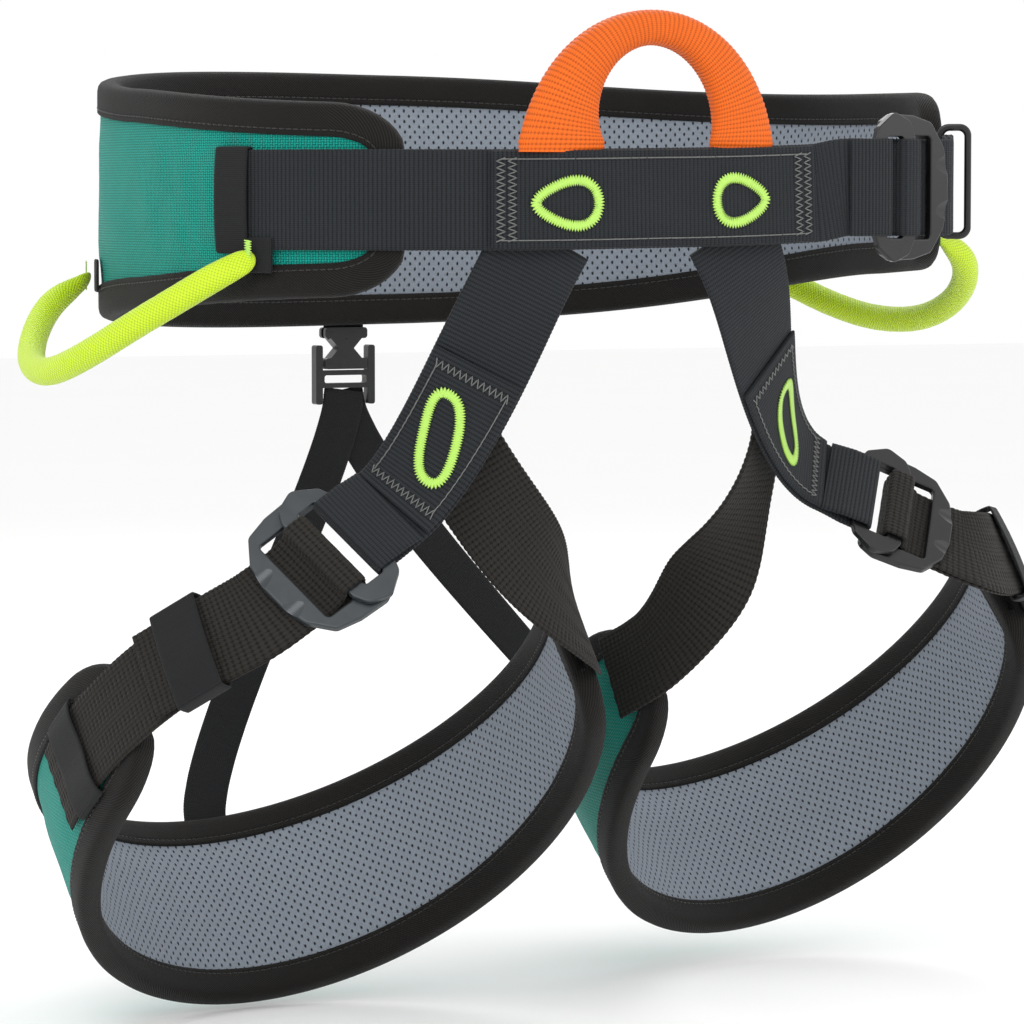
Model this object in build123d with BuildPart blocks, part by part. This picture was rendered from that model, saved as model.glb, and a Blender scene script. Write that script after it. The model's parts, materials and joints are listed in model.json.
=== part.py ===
"""Climbing harness: waist belt, two leg loops, tie-in loop, buckles, gear loops and rear elastics.

Millimetres, +Z up.  The origin is the centre of the waist opening, at the mid height of the
waist webbing.  The wearer faces -Y and +X is the wearer's left.

Every strap and pad is a band: rectangles lofted through frames that follow a curve.  In each
frame X runs across the band's width, Y points outward, away from the body, and Z runs along it.
"""
import os
from math import ceil, copysign, cos, radians, sin, sqrt, tan

from build123d import *

# ---------------------------------------------------------------- driving dimensions

# Waist curve in plan: a rounded rectangle, between an ellipse (2) and a square corner.
WAIST_HALF_WIDTH = 178.0
WAIST_HALF_DEPTH = 150.0
WAIST_SQUARENESS = 2.5
WAIST_RISE = 8.0               # the belt rides this much higher on one side
WAIST_RISE_TURN = -20.0

# Webbing and tape.
WAIST_WEB_WIDTH = 40.0
LEG_WEB_WIDTH = WAIST_WEB_WIDTH - 2.0
ELASTIC_WIDTH = 20.0
WEB_THICKNESS = 1.8
TAPE_THICKNESS = 1.0
GAP = 0.3                      # between neighbouring layers

# Padding layers, the same on the waist belt and the leg loops.
FACE_THICKNESS = 1.0
FOAM_THICKNESS = 5.0
LINING_THICKNESS = 1.2
BINDING_THICKNESS = 1.2
BINDING_COVER = 12.5           # how far the binding reaches over each face
LAYER_GAP = 0.2

# Waist pad, in degrees round the waist curve from +X, turning towards the back.
WAIST_PAD_START = -25.0
WAIST_PAD_END = 236.0
WAIST_PAD_BACK_HEIGHT = 112.0
WAIST_PAD_FRONT_HEIGHT = 74.0
WAIST_TIP_HEIGHT = 34.0
WAIST_TIP_LENGTH = 12.0        # degrees over which each end rounds off

# Pieces along the waist curve, in degrees.
SIDE_KEEPER = (204.0, 209.5)
WAIST_WEB_START = 205.0
FRONT_PANEL = (248.5, 289.0)
TIE_IN_TURNS = (257.5, 275.5)  # where the tie-in loop's two feet stand
WAIST_BUCKLE_TURN = 303.0
WAIST_BUCKLE_FLARE = 10.0
WAIST_STRAP_END = 352.0
WAIST_TAIL_END = 343.0
SLIDER_TURN = 331.0
REAR_TURN = 93.5

# Tie-in loop.
LOOP_RISE = 45.0
LOOP_TUBE_RADIUS = 8.5
LOOP_FOOT_HALF_WIDTH = 19.0
LOOP_FOOT_HALF_THICKNESS = 2.6
LOOP_FOOT_LIFT = 3.3           # foot above the webbing's top edge
LOOP_FOOT_OUT = 1.5

# Two-plate buckles.  U runs along the webbing, from the anchored side to the adjusting side.
SLOT_LENGTH = WAIST_WEB_WIDTH + 1.5
SLOT_WIDTH = 9.5
BAR_WIDTH = 7.0
PLATE_THICKNESS = 2.5
FRAME_THICKNESS = 2.9
FRAME_BAR_START = 16.0
FRAME_CLEARANCE = 0.5
# Corners of one half of each outline: (along the webbing, out from the slot's end).
PLATE_OUTLINE = [(-20.0, -1.75), (-18.0, 3.75), (-8.5, 10.25), (0.5, 6.75), (3.5, 0.75)]
FRAME_OUTLINE = [(-14.0, 5.75), (-7.0, 9.45), (6.0, 8.85), (16.5, 6.25), (24.0, -3.75),
                 (26.5, -14.75)]
OUTLINE_RADIUS = 4.0
PLATE_EDGE_RADIUS = 0.6
FRAME_EDGE_RADIUS = 0.8
SCOOP_RADIUS = 9.0             # two pressed hollows in the frame's outer bar
SCOOP_DEPTH = 1.1
SCOOP_TILT = 9.0
SCOOP_SPREAD = 9.5
BUCKLE_LEAD = 34.0             # from the centre bar to where the anchored webbing starts
ADJUST_LEAD = 27.0             # and to where the adjusting webbing starts
SLIDER_WIRE = 3.0
SLIDER_PLAY = 4.5              # over the thickness of the webbing
SLIDER_SIDE_PLAY = 3.0         # over its width
SLIDER_CORNER = 2.5

# Gear loops.
GEAR_TUBE_DIAMETER = 11.5
GEAR_TAB_HEIGHT = 14.0
GEAR_TAB_TURN = 2.0            # half a tab's length, in degrees
BEND_SHARE = 0.45              # of the shorter run, taken by each bend's tangent

# Rear release buckle and its elastics.
HANGER_WIDTH = ELASTIC_WIDTH
HANGER_TOP = -38.0
HANGER_OUT = 0.8
SOCKET_TOP = -58.0
SOCKET_SIZE = (HANGER_WIDTH + 1.0, 19.0, 7.0)  # across, tall, deep
SOCKET_BAR = 5.0
SOCKET_BRACE = (5.5, 42.0)     # width and slant of its two crossed braces
SOCKET_SLOT_DEPTH = 2.4
BUCKLE_CORNER = 1.5
PLUG_WIDTH = ELASTIC_WIDTH + 9.5
PLUG_BAR = 8.0
PLUG_SLOT = 3.6
PLUG_DROP = 4.6                # from the socket's bottom to the middle of the plug's bar
PLUG_ARM_WIDTH = 3.4
PLUG_ARM_LENGTH = 27.0
PLUG_RECESS = 1.0              # the plug is this much thinner than the socket, on each side
ELASTIC_LAP = 24.0             # each elastic's lap over its leg pad
ELASTIC_LAY = 0.8              # each elastic's middle from the slot's middle

# Leg pads, risers and keepers.
LEG_PAD_HEIGHT = 88.0
LEG_PAD_END_HEIGHT = 52.0
LEG_TIP_HEIGHT = 26.0
LEG_TIP_LENGTH = 12.0          # degrees
RISER_TOP = -22.5              # the riser's top comes out from behind the waist webbing
RISER_TOP_OUT = -2.1
RISER_FRAMES = 14
DOUBLER_FROM = 6
RISER_PULL = 0.65
ELASTIC_PULL = 0.5
INNER_PULL = 0.8
TIP_LAP = 20.0                 # inner strap's lap over the pad's tip
JUNCTION_LAP = 5.0             # and past the riser's middle
JUNCTION_OUT = -4.2
KEEPER_LENGTH = 22.0
KEEPER_PLAY = 1.5
PAD_KEEPER_TURN = 4.5
BUCKLE_SEAT_OUT = 4.0
WAIST_SETTLE = 22.0            # degrees from the buckle to where its strap lies on the curve

WAIST_STEP = 5.0               # degrees between frames
LEG_STEP = 8.0


# ---------------------------------------------------------------- frames along the curves

def belt_frame(turn, out=0.0, height=0.0):
    """Frame on the waist curve at an angle in degrees, moved outward and up."""
    c, s = cos(radians(turn)), sin(radians(turn))
    power = 2.0 / WAIST_SQUARENESS
    point = Vector(
        WAIST_HALF_WIDTH * copysign(abs(c) ** power, c),
        WAIST_HALF_DEPTH * copysign(abs(s) ** power, s),
        height + WAIST_RISE * max(0.0, cos(radians(turn - WAIST_RISE_TURN))) ** 2,
    )
    normal = Vector(
        copysign(abs(c) ** (2 - power), c) / WAIST_HALF_WIDTH,
        copysign(abs(s) ** (2 - power), s) / WAIST_HALF_DEPTH,
        0,
    ).normalized()
    up = Vector(0, 0, 1)
    return Plane(origin=point + normal * out, x_dir=up, z_dir=up.cross(normal))


def angles(start, end, step):
    """Evenly spaced angles from start to end, no further apart than step."""
    count = ceil(abs(end - start) / step)
    return [start + (end - start) * i / count for i in range(count + 1)]


def belt_frames(start, end, out=0.0):
    return [belt_frame(turn, out) for turn in angles(start, end, WAIST_STEP)]


class LegLoop:
    """One leg loop: a tilted ring, and where its pieces sit round it in degrees.

    0 is the ring's +X side and 90 is the rear.  toward is +1 where angles grow from the
    front towards the buckle side, and -1 on the other leg.
    """

    def __init__(self, name, centre, tilt, yaw, roll, radii, toward, pad, buckle, cant, settle,
                 lift, keeper_index, pad_keeper, strap_end, inner, climb, tie_in, top_cant,
                 junction, rear):
        self.name = name
        self.centre = Vector(*centre)
        self.radii = radii
        self.toward = toward
        self.pad = pad
        self.buckle = buckle
        self.cant = cant
        self.settle = settle
        self.lift = lift
        self.keeper_index = keeper_index
        self.pad_keeper = pad_keeper
        self.strap_end = strap_end
        self.inner = inner
        self.climb = climb
        self.tie_in = tie_in
        self.top_cant = top_cant
        self.junction = junction
        self.rear = rear
        tilt, yaw, roll = radians(tilt), radians(yaw), radians(roll)
        self.up = Vector(sin(yaw) * sin(tilt), cos(yaw) * sin(tilt), cos(tilt))
        across = Vector(1, 0, 0)
        across = (across - self.up * across.dot(self.up)).normalized()
        back = self.up.cross(across)
        self.across = across * cos(roll) + back * sin(roll)
        self.back = back * cos(roll) - across * sin(roll)

    def frame(self, turn, out=0.0):
        c, s = cos(radians(turn)), sin(radians(turn))
        point = self.centre + self.across * (self.radii[0] * c) + self.back * (self.radii[1] * s)
        along = self.back * (self.radii[1] * c) - self.across * (self.radii[0] * s)
        along = along.normalized()
        normal = along.cross(self.up)
        return Plane(origin=point + normal * out, x_dir=self.up, z_dir=along)

    def frames(self, start, end, out=0.0):
        return [self.frame(turn, out) for turn in angles(start, end, LEG_STEP)]

    def buckle_seat(self):
        """Frame at the buckle's centre bar, facing from the riser to the leg strap."""
        seat = moved(self.frame(self.buckle, BUCKLE_SEAT_OUT), across=self.lift)
        return canted(seat if self.toward > 0 else turned_back(seat), self.cant)


def turned_back(frame):
    """The same place and outward side, with the direction of travel reversed."""
    return Plane(origin=frame.origin, x_dir=-frame.x_dir, z_dir=-frame.z_dir)


def moved(frame, along=0.0, out=0.0, across=0.0):
    place = frame.origin + frame.z_dir * along + frame.y_dir * out + frame.x_dir * across
    return Plane(origin=place, x_dir=frame.x_dir, z_dir=frame.z_dir)


def canted(frame, degrees_round):
    """The same place and outward side, with the travel turned towards the width."""
    c, s = cos(radians(degrees_round)), sin(radians(degrees_round))
    return Plane(origin=frame.origin, x_dir=frame.x_dir * c - frame.z_dir * s,
                 z_dir=frame.z_dir * c + frame.x_dir * s)


def aimed(frame, travel):
    """The same place and outward side, travelling along a given direction."""
    outward = frame.y_dir
    along = (travel - outward * travel.dot(outward)).normalized()
    return Plane(origin=frame.origin, x_dir=outward.cross(along), z_dir=along)


def bridge(start, end, count, pull=1.0):
    """Frames on a smooth curve from one frame to another, turning the width on the way."""
    reach = (end.origin - start.origin).length * pull
    frames = []
    for i in range(count + 1):
        t = i / count
        point = (
            start.origin * (2 * t**3 - 3 * t**2 + 1)
            + start.z_dir * (reach * (t**3 - 2 * t**2 + t))
            + end.origin * (3 * t**2 - 2 * t**3)
            + end.z_dir * (reach * (t**3 - t**2))
        )
        along = (
            (end.origin - start.origin) * (6 * t - 6 * t**2)
            + start.z_dir * (reach * (3 * t**2 - 4 * t + 1))
            + end.z_dir * (reach * (3 * t**2 - 2 * t))
        ).normalized()
        share = 3 * t**2 - 2 * t**3
        width = start.x_dir * (1 - share) + end.x_dir * share
        width = (width - along * width.dot(along)).normalized()
        frames.append(Plane(origin=point, x_dir=width, z_dir=along))
    return frames


LEGS = [
    LegLoop("left", centre=(-104, -24, -230), tilt=38, yaw=-8, roll=-6, radii=(116, 138),
            toward=-1, pad=(-24, 211), buckle=258, cant=22, settle=32, lift=12, keeper_index=7,
            pad_keeper=194, strap_end=184, inner=-26, climb=24, tie_in=254.5,
            top_cant=-30, junction=9, rear=94),
    LegLoop("right", centre=(140, 14, -221), tilt=41, yaw=-13, roll=-13, radii=(107, 132),
            toward=1, pad=(-18, 214), buckle=284, cant=-36, settle=52, lift=4, keeper_index=5,
            pad_keeper=351, strap_end=366, inner=216, climb=-14, tie_in=275.5,
            top_cant=30, junction=9, rear=112),
]


# ---------------------------------------------------------------- shapes made along frames

def save(piece, name):
    piece.part.label = name
    export_step(piece.part, f"parts/{name}.step")


def band(frames, widths, middle, thickness):
    """A strap or a layer: a rectangle in every frame, its middle moved outward."""
    with BuildPart() as piece:
        for frame, width in zip(frames, widths):
            with BuildSketch(moved(frame, out=middle)):
                Rectangle(width, thickness)
        loft(ruled=True)
    return piece


def strap(frames, width, middle=0.0, thickness=WEB_THICKNESS):
    return band(frames, [width] * len(frames), middle, thickness)


def sleeve(frames, width, inside, outside, wall=TAPE_THICKNESS):
    """A keeper: a closed tape loop round everything between two outward offsets."""
    middle = (inside + outside) / 2
    thickness = outside - inside
    ends = [moved(frames[0], along=-1), *frames[1:-1], moved(frames[-1], along=1)]
    with BuildPart() as piece:
        add(strap(frames, width + 2 * wall, middle, thickness + 2 * wall).part)
        add(strap(ends, width, middle, thickness).part, mode=Mode.SUBTRACT)
    return piece


PAD_FACE = -GAP - BINDING_THICKNESS - LAYER_GAP - FACE_THICKNESS / 2
PAD_FOAM = PAD_FACE - FACE_THICKNESS / 2 - LAYER_GAP - FOAM_THICKNESS / 2
PAD_LINING = PAD_FOAM - FOAM_THICKNESS / 2 - LAYER_GAP - LINING_THICKNESS / 2
PAD_THICKNESS = FACE_THICKNESS + FOAM_THICKNESS + LINING_THICKNESS + 4 * LAYER_GAP
PAD_MIDDLE = -GAP - BINDING_THICKNESS - PAD_THICKNESS / 2


def make_pad(name, frames, heights):
    """Face cloth, foam, lining and the binding round the rim, each in a node of its own."""
    inset = [height - 2 * LAYER_GAP for height in heights]
    save(band(frames, inset, PAD_FACE, FACE_THICKNESS), f"{name}_face")
    save(band(frames, inset, PAD_FOAM, FOAM_THICKNESS), f"{name}_foam")
    save(band(frames, inset, PAD_LINING, LINING_THICKNESS), f"{name}_lining")
    over = BINDING_THICKNESS + LAYER_GAP
    longer = [moved(frames[0], along=-over), *frames[1:-1], moved(frames[-1], along=over)]
    snug = [moved(frames[0], along=-LAYER_GAP), *frames[1:-1], moved(frames[-1], along=LAYER_GAP)]
    outline = [height + 2 * BINDING_THICKNESS for height in heights]
    window = [height - 2 * BINDING_COVER for height in heights]
    with BuildPart() as binding:
        add(band(longer, outline, PAD_MIDDLE, PAD_THICKNESS + 2 * BINDING_THICKNESS).part)
        add(band(snug, heights, PAD_MIDDLE, PAD_THICKNESS).part, mode=Mode.SUBTRACT)
        add(band(frames[2:-2], window[2:-2], PAD_MIDDLE, 3 * PAD_THICKNESS).part,
            mode=Mode.SUBTRACT)
    save(binding, f"{name}_binding")


def rounded_end(from_end, length, tip):
    """Share of the full height at a distance from a pad's end, as a quarter circle."""
    inward = min(1.0, from_end / length)
    return tip + (1 - tip) * sqrt(1 - (1 - inward) ** 2)


# ---------------------------------------------------------------- two-plate buckles

def plate_plane(seat, out):
    """Sketch plane in the buckle's own plane: X along the webbing, Y along the bars."""
    return Plane(origin=seat.origin + seat.y_dir * out, x_dir=seat.z_dir, z_dir=seat.y_dir)


def side_plane(seat):
    """Sketch plane seen from the buckle's side: X along the webbing, Y outward."""
    return Plane(origin=seat.origin, x_dir=seat.z_dir, z_dir=-seat.x_dir)


def lobed(outline):
    """A closed outline, the same on both sides of the webbing's middle, with round corners."""
    half = [(u, SLOT_LENGTH / 2 + v) for u, v in outline]
    with BuildSketch() as shape:
        Polygon(*half, *[(u, -v) for u, v in reversed(half)], align=None)
        fillet(shape.vertices(), radius=OUTLINE_RADIUS)
    return shape.sketch


def make_buckle(name, seat):
    """A lobed plate with two bars, over a U-shaped frame that tilts on it."""
    with BuildPart() as plate:
        with BuildSketch(plate_plane(seat, 0)):
            add(lobed(PLATE_OUTLINE))
            with Locations((-(BAR_WIDTH + SLOT_WIDTH) / 2, 0)):
                RectangleRounded(SLOT_WIDTH, SLOT_LENGTH, 1.5, mode=Mode.SUBTRACT)
        extrude(amount=PLATE_THICKNESS)
        fillet(plate.edges().group_by(seat_axis(seat))[-1], radius=PLATE_EDGE_RADIUS)
    save(plate, f"{name}_plate")

    inside = 2 * (FRAME_BAR_START - FRAME_OUTLINE[0][0])
    with BuildPart() as frame:
        with BuildSketch(plate_plane(seat, -FRAME_CLEARANCE - FRAME_THICKNESS)):
            add(lobed(FRAME_OUTLINE))
            with Locations((FRAME_BAR_START - inside / 2, 0)):
                RectangleRounded(inside, SLOT_LENGTH + 2 * FRAME_CLEARANCE, 2,
                                 mode=Mode.SUBTRACT)
        extrude(amount=FRAME_THICKNESS)
        fillet(frame.edges().group_by(seat_axis(seat))[-1], radius=FRAME_EDGE_RADIUS)
        for side in (-1, 1):
            bar_end = plate_plane(seat, SCOOP_RADIUS - FRAME_CLEARANCE - SCOOP_DEPTH)
            place = Location(bar_end) * Location(
                (FRAME_OUTLINE[-1][0], side * SCOOP_SPREAD, 0), (0, 90 + SCOOP_TILT, 0))
            with Locations(place):
                Cylinder(SCOOP_RADIUS, 2 * FRAME_BAR_START, mode=Mode.SUBTRACT)
    save(frame, f"{name}_frame")


def seat_axis(seat):
    return Axis(seat.origin, seat.y_dir)


def ribbon(seat, points, width):
    """Webbing bent round a bar: a bent line of even thickness, as wide as the webbing."""
    with BuildPart() as piece:
        with BuildSketch(side_plane(seat)):
            with BuildLine():
                FilletPolyline(*points, radius=1.3)
            trace(line_width=WEB_THICKNESS)
        extrude(amount=width / 2, both=True)
    return piece


BAR_CLEARANCE = GAP + WEB_THICKNESS / 2
ABOVE_PLATE = PLATE_THICKNESS + BAR_CLEARANCE
BELOW_PLATE = -BAR_CLEARANCE
ANCHOR_SLOT = -BAR_WIDTH / 2 - SLOT_WIDTH + BAR_CLEARANCE
UNDER_FRAME = -FRAME_CLEARANCE - FRAME_THICKNESS - BAR_CLEARANCE
PLY_STEP = WEB_THICKNESS + GAP


def anchored_turn(seat, width):
    """The sewn loop round the plate's outer bar; its upper ply ends over the lower one."""
    near = -BUCKLE_LEAD + 10
    return ribbon(seat, [
        (-BUCKLE_LEAD, 0),
        (near, BELOW_PLATE),
        (ANCHOR_SLOT, BELOW_PLATE),
        (ANCHOR_SLOT, ABOVE_PLATE),
        (near, ABOVE_PLATE),
        (-BUCKLE_LEAD, PLY_STEP),
    ], width)


def adjusting_turn(seat, width):
    """The webbing that comes from under the frame and rolls back over the centre bar."""
    side = BAR_WIDTH / 2 + BAR_CLEARANCE
    return ribbon(seat, [
        (ADJUST_LEAD, UNDER_FRAME),
        (side + 5, UNDER_FRAME),
        (side, BELOW_PLATE),
        (side, ABOVE_PLATE),
        (-side, ABOVE_PLATE),
        (-side, UNDER_FRAME - PLY_STEP),
        (ADJUST_LEAD, UNDER_FRAME - PLY_STEP),
    ], width)


# ---------------------------------------------------------------- waist belt

def make_waist_pad():
    turns = angles(WAIST_PAD_START, WAIST_PAD_END, WAIST_STEP)
    last = [WAIST_PAD_END - share * WAIST_TIP_LENGTH for share in (0.55, 0.3, 0.12, 0.0)]
    first = [WAIST_PAD_START + share * WAIST_TIP_LENGTH for share in (0.0, 0.12, 0.3, 0.55)]
    middle = [turn for turn in turns if first[-1] + 2 < turn < last[0] - 2]
    heights = []
    for turn in first + middle + last:
        share = (turn - WAIST_PAD_START) / (WAIST_PAD_END - WAIST_PAD_START)
        height = WAIST_PAD_FRONT_HEIGHT + (
            (WAIST_PAD_BACK_HEIGHT - WAIST_PAD_FRONT_HEIGHT) * sin(radians(180 * share)) ** 2
        )
        from_end = min(turn - WAIST_PAD_START, WAIST_PAD_END - turn)
        tip = WAIST_TIP_HEIGHT / WAIST_PAD_FRONT_HEIGHT
        heights.append(height * rounded_end(from_end, WAIST_TIP_LENGTH, tip))
    make_pad("waist", [belt_frame(turn) for turn in first + middle + last], heights)


def waist_buckle_seat():
    """Frame at the waist buckle's centre bar, its far end turned a little outward."""
    base = belt_frame(WAIST_BUCKLE_TURN, out=5.0)
    c, s = cos(radians(WAIST_BUCKLE_FLARE)), sin(radians(WAIST_BUCKLE_FLARE))
    return Plane(origin=base.origin, x_dir=base.x_dir, z_dir=base.z_dir * c + base.y_dir * s)


def make_waist_webbing():
    seat = waist_buckle_seat()
    middle = WEB_THICKNESS / 2
    covered = FRONT_PANEL[1] - 4
    panel_end = belt_frame(covered, out=middle)
    with BuildPart() as webbing:
        add(strap(belt_frames(WAIST_WEB_START, covered), WAIST_WEB_WIDTH, middle).part)
        add(strap(bridge(panel_end, moved(seat, along=-BUCKLE_LEAD), 3), WAIST_WEB_WIDTH).part)
        add(anchored_turn(seat, WAIST_WEB_WIDTH).part)
    save(webbing, "waist_webbing")
    save(strap(belt_frames(FRONT_PANEL[0], covered), WAIST_WEB_WIDTH - 1, middle + PLY_STEP),
         "front_panel")

    settled = WAIST_BUCKLE_TURN + WAIST_SETTLE
    near = bridge(adjusting_start(seat), belt_frame(settled, out=middle), 4)
    sewn = near + belt_frames(settled, WAIST_STRAP_END, middle)[1:]
    tail = near + belt_frames(settled, WAIST_TAIL_END, middle)[1:]
    save(adjusting_strap(seat, sewn, tail, WAIST_WEB_WIDTH), "waist_strap")

    keeper = sleeve(belt_frames(*SIDE_KEEPER), WAIST_WEB_WIDTH + GAP,
                    -GAP / 2, WEB_THICKNESS + GAP / 2)
    save(keeper, "side_keeper")


def adjusting_start(seat):
    """Where the ply that carries the load leaves the buckle."""
    return moved(seat, along=ADJUST_LEAD, out=UNDER_FRAME - PLY_STEP)


def adjusting_strap(seat, sewn, tail, width):
    """The load-bearing ply, its roll round the centre bar and the tail that lies over it."""
    with BuildPart() as piece:
        add(strap(sewn, width).part)
        add(adjusting_turn(seat, width).part)
        add(strap(tail, width, PLY_STEP).part)
    return piece


def make_slider():
    """Rounded wire loop that holds the waist strap's tail against the strap."""
    inner_out = 2 * PLY_STEP + SLIDER_PLAY
    inner_width = WAIST_WEB_WIDTH + SLIDER_SIDE_PLAY
    with BuildPart() as slider:
        with BuildSketch(belt_frame(SLIDER_TURN, out=inner_out / 2 - GAP)):
            RectangleRounded(inner_width + 2 * SLIDER_WIRE, inner_out + 2 * SLIDER_WIRE,
                             2 * SLIDER_CORNER)
            RectangleRounded(inner_width, inner_out, SLIDER_CORNER, mode=Mode.SUBTRACT)
        extrude(amount=SLIDER_WIRE / 2, both=True)
        fillet(slider.edges(), radius=SLIDER_WIRE * 0.35)
    save(slider, "waist_slider")


def make_tie_in_loop():
    """An arch of tubular webbing, flat at its two feet and round at its top."""
    left, right = (belt_frame(turn, out=LOOP_FOOT_OUT).origin for turn in TIE_IN_TURNS)
    middle = (left + right) / 2
    half_span = (right.X - left.X) / 2
    foot_height = WAIST_WEB_WIDTH / 2 + LOOP_FOOT_LIFT
    with BuildPart() as loop:
        for turn in range(0, 181, 18):
            c, s = cos(radians(turn)), sin(radians(turn))
            place = Vector(middle.X + half_span * c, middle.Y, foot_height + LOOP_RISE * s)
            along = Vector(-half_span * s, 0, LOOP_RISE * c)
            section = Plane(origin=place, x_dir=along.cross(Vector(0, 1, 0)), z_dir=along)
            flat = abs(c) ** 2.5
            with BuildSketch(section):
                Ellipse(
                    LOOP_TUBE_RADIUS + (LOOP_FOOT_HALF_WIDTH - LOOP_TUBE_RADIUS) * flat,
                    LOOP_TUBE_RADIUS + (LOOP_FOOT_HALF_THICKNESS - LOOP_TUBE_RADIUS) * flat,
                )
        loft()
    save(loop, "tie_in_loop")


# ---------------------------------------------------------------- gear loops

# Each gear loop's centre line, from its front end to its rear end: the angle round the waist
# curve, the distance out from it, and the height.
GEAR_ROUTES = {
    "left": [(212, 8.4, -22), (205.4, 19.9, -35), (197.8, 30.2, -49), (189.6, 37.4, -63),
             (182.4, 41.1, -71), (177.4, 39.2, -68), (171.6, 31.8, -57), (167, 22.1, -44),
             (163.3, 10.4, -32)],
    "right": [(-12.9, 8.8, -21.9), (-10, 20.4, -31.8), (-5.5, 28.7, -43.5), (-0.6, 32, -54.1),
              (3.9, 29.4, -60.7), (11.1, 24, -59.9), (18.6, 19.4, -52.9), (25.6, 14.6, -42.9),
              (31.8, 9.3, -33.1)],
}


def bend_radii(points):
    """The largest tangent arc that each corner's two runs allow."""
    radii = []
    for before, corner, after in zip(points, points[1:], points[2:]):
        arrive, leave = corner - before, after - corner
        turn = arrive.get_angle(leave)
        radii.append(BEND_SHARE * min(arrive.length, leave.length) / tan(radians(turn / 2)))
    return radii


def gear_points(side):
    return [belt_frame(turn, out, height).origin for turn, out, height in GEAR_ROUTES[side]]


def make_gear_loop(side):
    points = gear_points(side)
    radii = bend_radii(points)
    print(f"gear loop {side}: radii", [round(radius) for radius in radii])
    with BuildPart() as tube:
        with BuildLine() as route:
            FilletPolyline(*points, radius=radii)
        with BuildSketch(Plane(origin=route.line @ 0, z_dir=route.line % 0)):
            Circle(GEAR_TUBE_DIAMETER / 2)
        sweep()
    print(f"gear loop {side}: length {route.wires()[0].length:.1f}")
    save(tube, f"gear_loop_{side}")
    for end, k in (("front", 0), ("rear", -1)):
        turn, _, height = GEAR_ROUTES[side][k]
        frames = [belt_frame(turn + step, height=height) for step in (-GEAR_TAB_TURN, GEAR_TAB_TURN)]
        tab = strap(frames, GEAR_TAB_HEIGHT, WEB_THICKNESS + GAP + TAPE_THICKNESS / 2,
                    TAPE_THICKNESS)
        save(tab, f"gear_tab_{side}_{end}")


# ---------------------------------------------------------------- rear release buckle

def hanging_frame(turn, height, out=0.0):
    """Frame for webbing that hangs down from the waist curve."""
    outward = belt_frame(turn).y_dir
    down = Vector(0, 0, -1)
    place = belt_frame(turn, out, height).origin
    return Plane(origin=place, x_dir=outward.cross(down), z_dir=down)


def make_rear_buckle():
    hanger = [hanging_frame(REAR_TURN, HANGER_TOP), hanging_frame(REAR_TURN, SOCKET_TOP + 1)]
    save(strap(hanger, HANGER_WIDTH, HANGER_OUT, TAPE_THICKNESS), "rear_hanger")
    width, height, depth = SOCKET_SIZE
    brace, slant = SOCKET_BRACE
    face = plate_plane(hanging_frame(REAR_TURN, SOCKET_TOP - height / 2), HANGER_OUT - depth / 2)
    bar = (height - SOCKET_BAR) / 2
    with BuildPart() as socket:
        with BuildSketch(face):
            with Locations((-bar, 0), (bar, 0)):
                RectangleRounded(SOCKET_BAR, width, BUCKLE_CORNER)
            for side in (-1, 1):
                with Locations(Location((0, 0, 0), (0, 0, side * slant))):
                    RectangleRounded(height + 3, brace, BUCKLE_CORNER)
        extrude(amount=depth)
        with BuildSketch(face.offset((depth - SOCKET_SLOT_DEPTH) / 2)):
            with Locations((-bar, 0)):
                Rectangle(SOCKET_BAR + 1, width)
        extrude(amount=SOCKET_SLOT_DEPTH, mode=Mode.SUBTRACT)
    save(socket, "rear_socket")

    middle = height / 2 + PLUG_DROP
    with BuildPart() as plug:
        with BuildSketch(face.offset(PLUG_RECESS)):
            with Locations((middle, 0)):
                RectangleRounded(PLUG_BAR, PLUG_WIDTH, BUCKLE_CORNER)
            with Locations((middle, 0)):
                RectangleRounded(PLUG_SLOT, ELASTIC_WIDTH + 1, 1, mode=Mode.SUBTRACT)
            for side in (-1, 1):
                with Locations((middle - 2, side * (PLUG_WIDTH - PLUG_ARM_WIDTH) / 2)):
                    RectangleRounded(PLUG_ARM_LENGTH, PLUG_ARM_WIDTH, PLUG_ARM_WIDTH / 3)
        extrude(amount=depth - 2 * PLUG_RECESS)
    save(plug, "rear_plug")


def rear_elastic_frames(leg):
    """From the plug's slot to the outside of the leg pad's upper rear edge."""
    below_plug = SOCKET_TOP - SOCKET_SIZE[1] - PLUG_DROP - PLUG_BAR / 2 - 0.9
    start = moved(hanging_frame(REAR_TURN, below_plug), out=HANGER_OUT + ELASTIC_LAY * leg.toward)
    ring = leg.frame(leg.rear, out=TAPE_THICKNESS / 2 + GAP)
    reach = leg_pad_height(leg, leg.rear) / 2 - ELASTIC_LAP
    end = Plane(origin=ring.origin + ring.x_dir * reach, x_dir=ring.z_dir, z_dir=-ring.x_dir)
    edge = moved(end, along=-ELASTIC_LAP)
    return bridge(start, edge, 14, ELASTIC_PULL) + [end]


# ---------------------------------------------------------------- leg loops

def leg_pad_height(leg, turn):
    share = (turn - leg.pad[0]) / (leg.pad[1] - leg.pad[0])
    swell = max(0.0, sin(radians(180 * share))) ** 0.7
    height = LEG_PAD_END_HEIGHT + (LEG_PAD_HEIGHT - LEG_PAD_END_HEIGHT) * swell
    from_end = min(turn - leg.pad[0], leg.pad[1] - turn)
    return height * rounded_end(from_end, LEG_TIP_LENGTH, LEG_TIP_HEIGHT / LEG_PAD_END_HEIGHT)


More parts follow.
